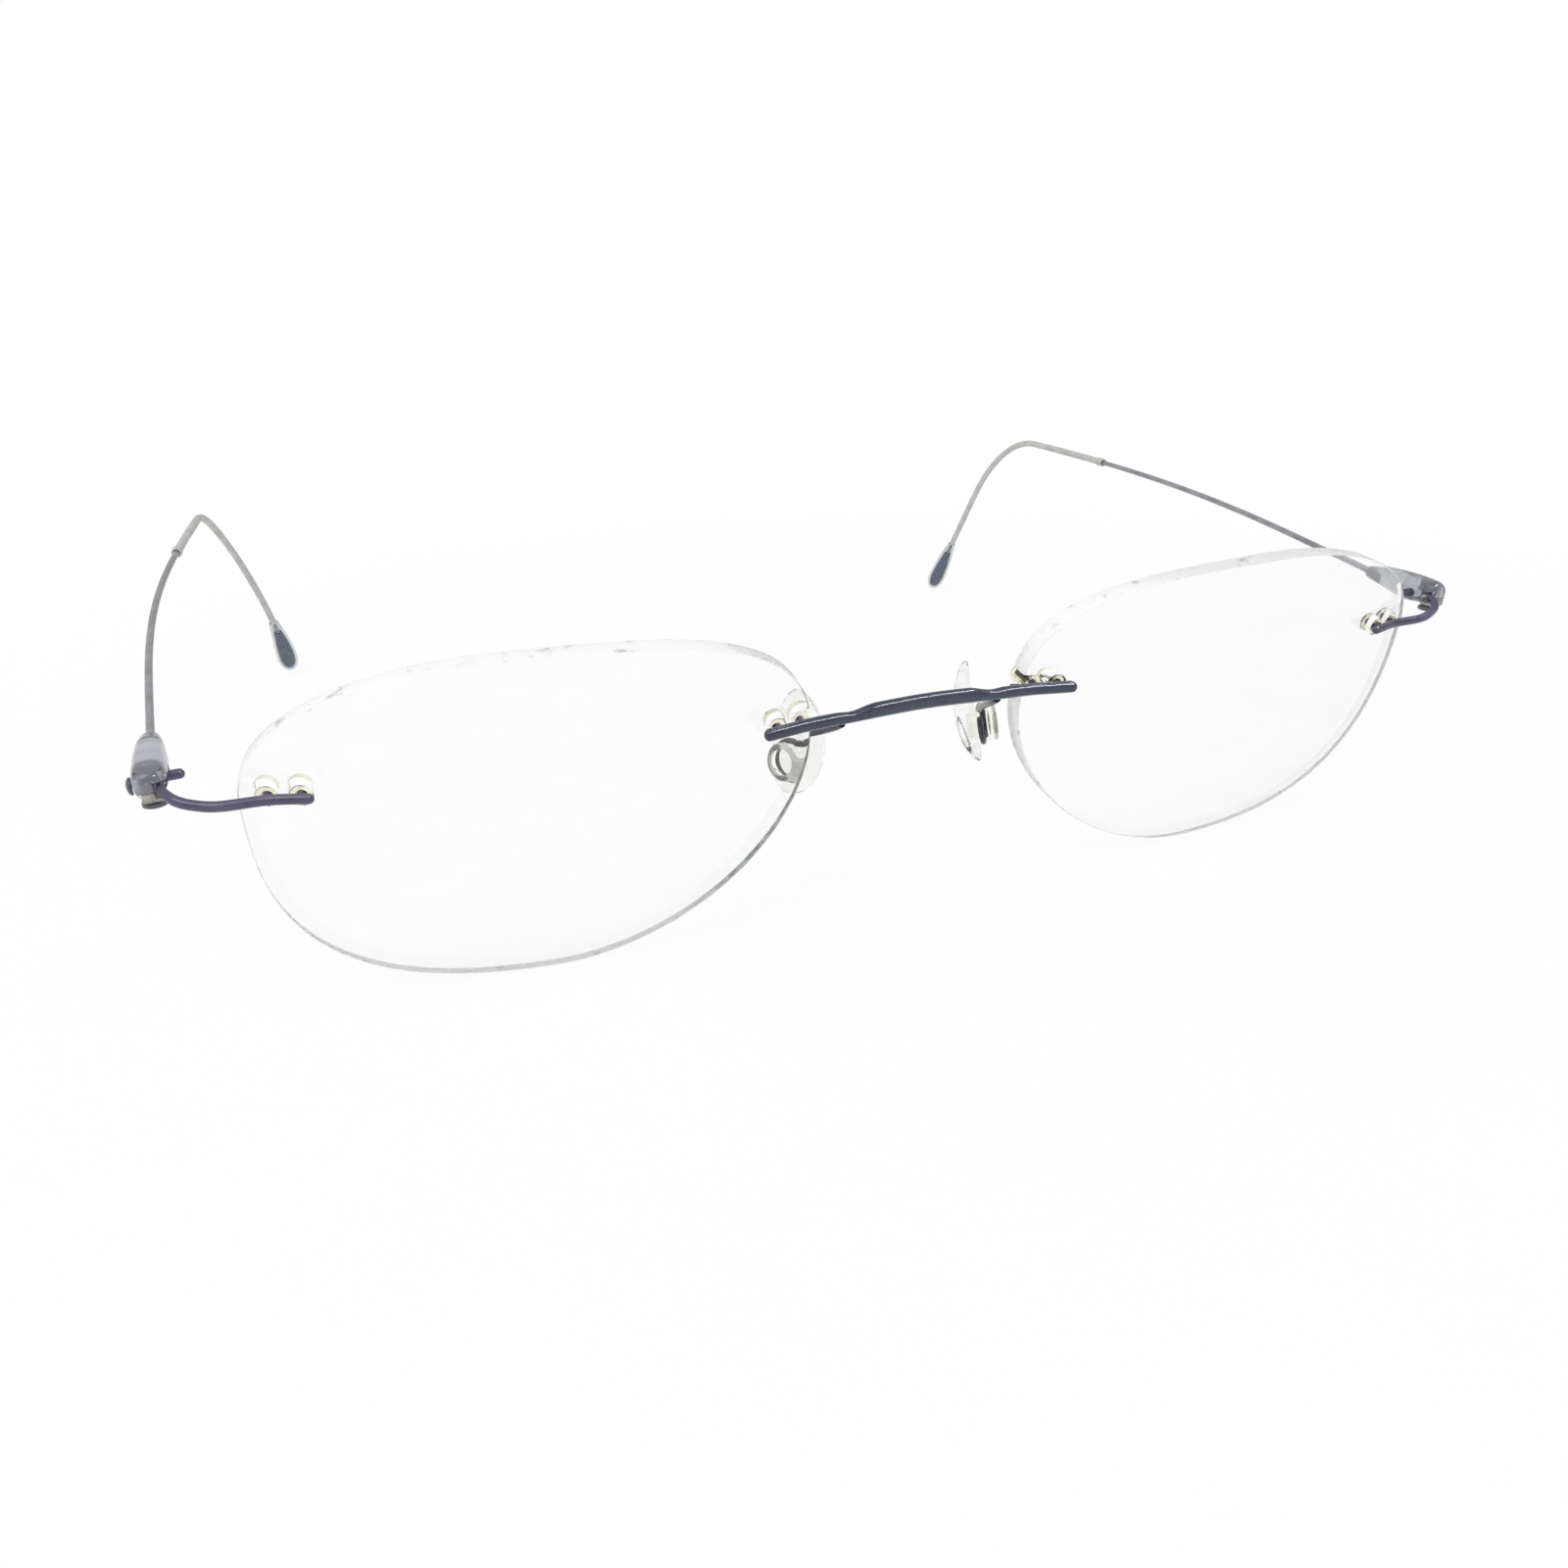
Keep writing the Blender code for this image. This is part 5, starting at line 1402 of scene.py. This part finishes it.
def pad_mesh():
    def ring(scale, inward):
        """A ring round the pad: inward is 0 on its back and 1 on the face towards the nose."""
        points = []
        for across, up in ellipse(PAD_WIDTH / 2, PAD_HEIGHT / 2, PAD_SIDES, PAD_SQUARENESS):
            narrowing = 1 - PAD_NARROWING * up / (PAD_HEIGHT / 2)
            y, z = across * scale * narrowing, up * scale + PAD_ABOVE_EYE
            edge = bow(PAD_ABOVE_EYE + y, PAD_SIDE_RADIUS)
            points.append(Vector((mix(pad_back(z), pad_face(z), inward) + edge, y, z)))
        return points

    rings = [ring(scale, 0) for scale in (0.15, 0.30, 0.45, 0.60, 0.74, 0.84)]
    rounded_from = 0.90
    steps = 12
    for i in range(steps + 1):
        angle = math.pi * i / steps
        rings.append(ring(mix(rounded_from, 1, math.sin(angle)), 0.5 - 0.5 * math.cos(angle)))
    rings += [ring(scale, 1) for scale in (0.82, 0.70, 0.56, 0.42, 0.28, 0.14)]
    return loft(rings)


def insert_profile():
    """(along the eye's axis, radius) round the wall of the insert, from its end in the pad."""
    rim_start = EYE_WIRE_RADIUS + EYE_ROOM
    rim_end = rim_start + INSERT_RIM_DEPTH
    edge = INSERT_RIM_EDGE
    neck_end = pad_back(0) - PAD_SOCKET + FIT
    profile = [(neck_end, INSERT_HOLE_RADIUS), (neck_end, INSERT_NECK_RADIUS)]
    profile += [(rim_start, INSERT_NECK_RADIUS)]
    steps = 5
    for middle, first in ((rim_start + edge, 0), (rim_end - edge, 90)):
        for i in range(steps + 1):
            angle = math.radians(first + 90 * i / steps)
            around = INSERT_RIM_RADIUS - edge + edge * math.sin(angle)
            profile.append((middle - edge * math.cos(angle), around))
    profile += [
        (rim_end, INSERT_HOLE_RADIUS + INSERT_MOUTH),
        (rim_end - INSERT_MOUTH / 3, INSERT_HOLE_RADIUS + INSERT_MOUTH * 0.4),
        (rim_end - INSERT_MOUTH, INSERT_HOLE_RADIUS),
    ]
    return profile


def pad_arm_mesh():
    """The arm: down and back from under the bar, then round the insert's neck."""
    to_eye = Matrix.Translation(PAD_EYE) @ Euler(PAD_TURN).to_matrix().to_4x4()
    eye_radius = INSERT_NECK_RADIUS + FIT + EYE_WIRE_RADIUS
    back, up, _, half_height = bar_shape(PAD_ARM_ROOT_X)
    below_bar = up - half_height - FIT - PAD_ARM_GAP
    top = FRONT @ Vector((PAD_ARM_ROOT_X, back + PAD_ARM_SET_BACK, below_bar))
    eye = []
    for i in range(EYE_STEPS + 1):
        angle = math.radians(mix(EYE_START, EYE_END, i / EYE_STEPS))
        eye.append(to_eye @ Vector((0, eye_radius * math.cos(angle), eye_radius * math.sin(angle))))
    lead = to_eye @ Vector((0.00010, -eye_radius * 0.95, eye_radius * 1.25))
    points = [
        top,
        top + Vector(PAD_ARM_ELBOW),
        mix(top, lead, 0.52) + Vector(PAD_ARM_SAG),
        lead,
        *eye,
    ]
    line = through(points)
    total = length_of(line)
    at_eye = nearest_distance(line, eye[0])
    stations = []
    for d in spread(0, total - EYE_WIRE_RADIUS, PAD_ARM_SPACING):
        stations.append((d, mix(PAD_ARM_ROOT_RADIUS, EYE_WIRE_RADIUS, smooth(1.15 * d / at_eye))))
    stations += [(total - d, r) for d, r in reversed(dome(EYE_WIRE_RADIUS, 6))]
    return loft(rolled_sections(line, stations))


class EYEGLASSES_OT_nose_pads(Operator):
    """Make the silicone nose pads, the rings that hold them and their arms"""

    bl_idname = "eyeglasses.nose_pads"
    bl_label = "Nose pads"

    def execute(self, context):
        soft = silicone("pad silicone", colours().pad, 0.06, transmission=0.98, ior=1.15)
        bore = clear_plastic("pad insert bore plastic", colours().pad, 0.03, 1.0, ior=1.15, cloud=0.96)
        ring = clear_plastic("pad insert plastic", colours().insert, 0.12, 0.60, ior=1.30, cloud=0.45)
        dark = lacquer("pad arm lacquer", colours().pad_arm, 0.30, settings().gloss)
        # The bands of the insert's profile from the edge of its rim to its mouth.
        rim_bands = range(9, 17)
        for side_name, side in SIDES:
            body = f"pad_{side_name}"
            pad = pad_mesh()
            socket = bore_cutter(INSERT_NECK_RADIUS + FIT, pad_back(0) - PAD_SOCKET, 0, "X")
            dress(f"nose_pad_{side_name}", pad, PAD_FRAME, side, body, "nose_pad", [soft], [socket])
            insert = turned(insert_profile(), "X", closed=True, second_finish=rim_bands)
            dress(f"pad_insert_{side_name}", insert, PAD_FRAME, side, body, "pad_insert", [bore, ring])
            arm = pad_arm_mesh()
            dress(f"pad_arm_{side_name}", arm, GLASSES, side, "front", "pad_arm", [dark], sharp=60)
        return {"FINISHED"}


# Stage

CAMERA_PLACE = (-0.043858, -0.156085, 0.055948)
CAMERA_TURN = (67.8503, 2.6418, -19.1890)
# Each light: its place, what it points at, and its width and depth.
KEY_LIGHT = ((-0.30, -0.30, 0.70), (0, 0, 0), (0.45, 0.45))
STRIP_LIGHT = ((0.28, -0.30, 0.56), (0, -0.06, 0.02), (0.60, 0.025))
FLOOR_DROP = 0.00005
# The washed-out floor turns wholly white between these distances from the middle.
FLOOR_FADE = (0.10, 0.30)


def seen_rays(tree):
    """1 for rays from the camera and through clear pieces, and 0 for the rest."""
    rays = tree.nodes.new("ShaderNodeLightPath").outputs
    return math_of(tree, "MAXIMUM", rays["Is Camera Ray"], rays["Is Transmission Ray"])


def floor_finish():
    """A pale matt floor that looks white and keeps a light shadow."""
    made = Finish("pale floor", 0.9)
    speckle = made.spread_to(made.noise(40, 3), 0, 1)
    made.feed(made.blend(speckle, (0.90, 0.90, 0.90), (0.93, 0.93, 0.93)), "Base Color")
    made.set("Specular IOR Level", 0.0)
    glow = made.node("ShaderNodeEmission", {"Strength": 1.0}, "Emission")
    from_middle = made.node("ShaderNodeVectorMath", {0: made.place}, "Value", "LENGTH")
    washed_out = made.spread_to(from_middle, settings().floor_white, 1.0, *FLOOR_FADE)
    share = made.product(seen_rays(made.tree), washed_out)
    inputs = {"Fac": share, 1: made.shader.outputs["BSDF"], 2: glow}
    surface = made.node("ShaderNodeMixShader", inputs, "Shader")
    made.tree.links.new(surface, made.tree.nodes["Material Output"].inputs["Surface"])
    return made.material


def light_world():
    """Even light all round, white where it is seen or mirrored inside clear pieces."""
    world = bpy.data.worlds.new("even light")
    world.use_nodes = True
    bpy.context.scene.world = world
    tree = world.node_tree
    rays = tree.nodes.new("ShaderNodeLightPath").outputs
    glossy = rays["Is Glossy Ray"]
    mirrored_inside = math_of(tree, "MULTIPLY", glossy, rays["Transmission Depth"])
    white = math_of(tree, "MAXIMUM", seen_rays(tree), mirrored_inside)
    dimmed = {"Value": glossy, "To Min": settings().sky, "To Max": settings().sky_gloss}
    unseen = node(tree, "ShaderNodeMapRange", dimmed, "Result")
    brightness = {"Value": white, "To Min": unseen, "To Max": 1.0}
    strength = node(tree, "ShaderNodeMapRange", brightness, "Result")
    background = tree.nodes["Background"]
    background.inputs["Color"].default_value = (1, 1, 1, 1)
    tree.links.new(strength, background.inputs["Strength"])


def soft_light(name, place, aim, size, power):
    light = bpy.data.lights.new(name, "AREA")
    light.shape = "RECTANGLE"
    light.size, light.size_y = size
    light.energy = power
    made = bpy.data.objects.new(name, light)
    made.location = place
    made.rotation_euler = (Vector(aim) - Vector(place)).to_track_quat("-Z", "Y").to_euler()
    made.visible_transmission = False
    bpy.context.scene.collection.objects.link(made)
    return made


class EYEGLASSES_OT_stage(Operator):
    """Set the floor, the soft light and the camera"""

    bl_idname = "eyeglasses.stage"
    bl_label = "Stage"

    def execute(self, context):
        half = settings().floor_size / 2
        mesh = bmesh.new()
        bmesh.ops.create_grid(mesh, x_segments=1, y_segments=1, size=half)
        floor = object_of("floor", mesh)
        floor.location = (0, 0, -FLOOR_DROP)
        floor.data.materials.append(floor_finish())
        light_world()
        soft_light("key_light", *KEY_LIGHT, settings().key_power)
        strip = soft_light("strip_light", *STRIP_LIGHT, settings().strip_power)
        strip.visible_diffuse = False
        camera = bpy.data.objects.new("camera", bpy.data.cameras.new("camera"))
        camera.data.sensor_width = 36
        camera.data.lens = settings().focal_length
        camera.data.clip_start = 0.005
        camera.location = CAMERA_PLACE
        camera.rotation_euler = [math.radians(angle) for angle in CAMERA_TURN]
        context.scene.collection.objects.link(camera)
        context.scene.camera = camera
        context.scene.view_settings.view_transform = "Standard"
        return {"FINISHED"}


# Add-on

PIECES = (
    EYEGLASSES_OT_stage,
    EYEGLASSES_OT_lenses,
    EYEGLASSES_OT_bushings,
    EYEGLASSES_OT_bridge,
    EYEGLASSES_OT_endpieces,
    EYEGLASSES_OT_hinges,
    EYEGLASSES_OT_temples,
    EYEGLASSES_OT_nose_pads,
)


class EYEGLASSES_PT_pieces(Panel):
    """Lists the pieces, the colours and the stage"""

    bl_label = "Rimless Eyeglasses"
    bl_idname = "EYEGLASSES_PT_pieces"
    bl_space_type = "VIEW_3D"
    bl_region_type = "UI"
    bl_category = "Eyeglasses"

    def draw(self, context):
        layout = self.layout
        for piece in PIECES:
            layout.operator(piece.bl_idname)
        for group in (context.scene.eyeglass_settings, context.scene.eyeglass_colours):
            column = layout.box().column()
            for name in group.bl_rna.properties.keys():
                if name not in ("rna_type", "name"):
                    column.prop(group, name)


CLASSES = (EyeglassColours, EyeglassSettings, *PIECES, EYEGLASSES_PT_pieces)


def register():
    for cls in CLASSES:
        bpy.utils.register_class(cls)
    bpy.types.Scene.eyeglass_colours = PointerProperty(type=EyeglassColours)
    bpy.types.Scene.eyeglass_settings = PointerProperty(type=EyeglassSettings)


def unregister():
    del bpy.types.Scene.eyeglass_settings
    del bpy.types.Scene.eyeglass_colours
    for cls in reversed(CLASSES):
        bpy.utils.unregister_class(cls)


def main():
    register()
    bpy.ops.eyeglasses.stage()
    bpy.ops.eyeglasses.lenses()
    bpy.ops.eyeglasses.bushings()
    bpy.ops.eyeglasses.bridge()
    bpy.ops.eyeglasses.endpieces()
    bpy.ops.eyeglasses.hinges()
    bpy.ops.eyeglasses.temples()
    bpy.ops.eyeglasses.nose_pads()
    bpy.context.view_layer.update()


if __name__ == "__main__":
    main()
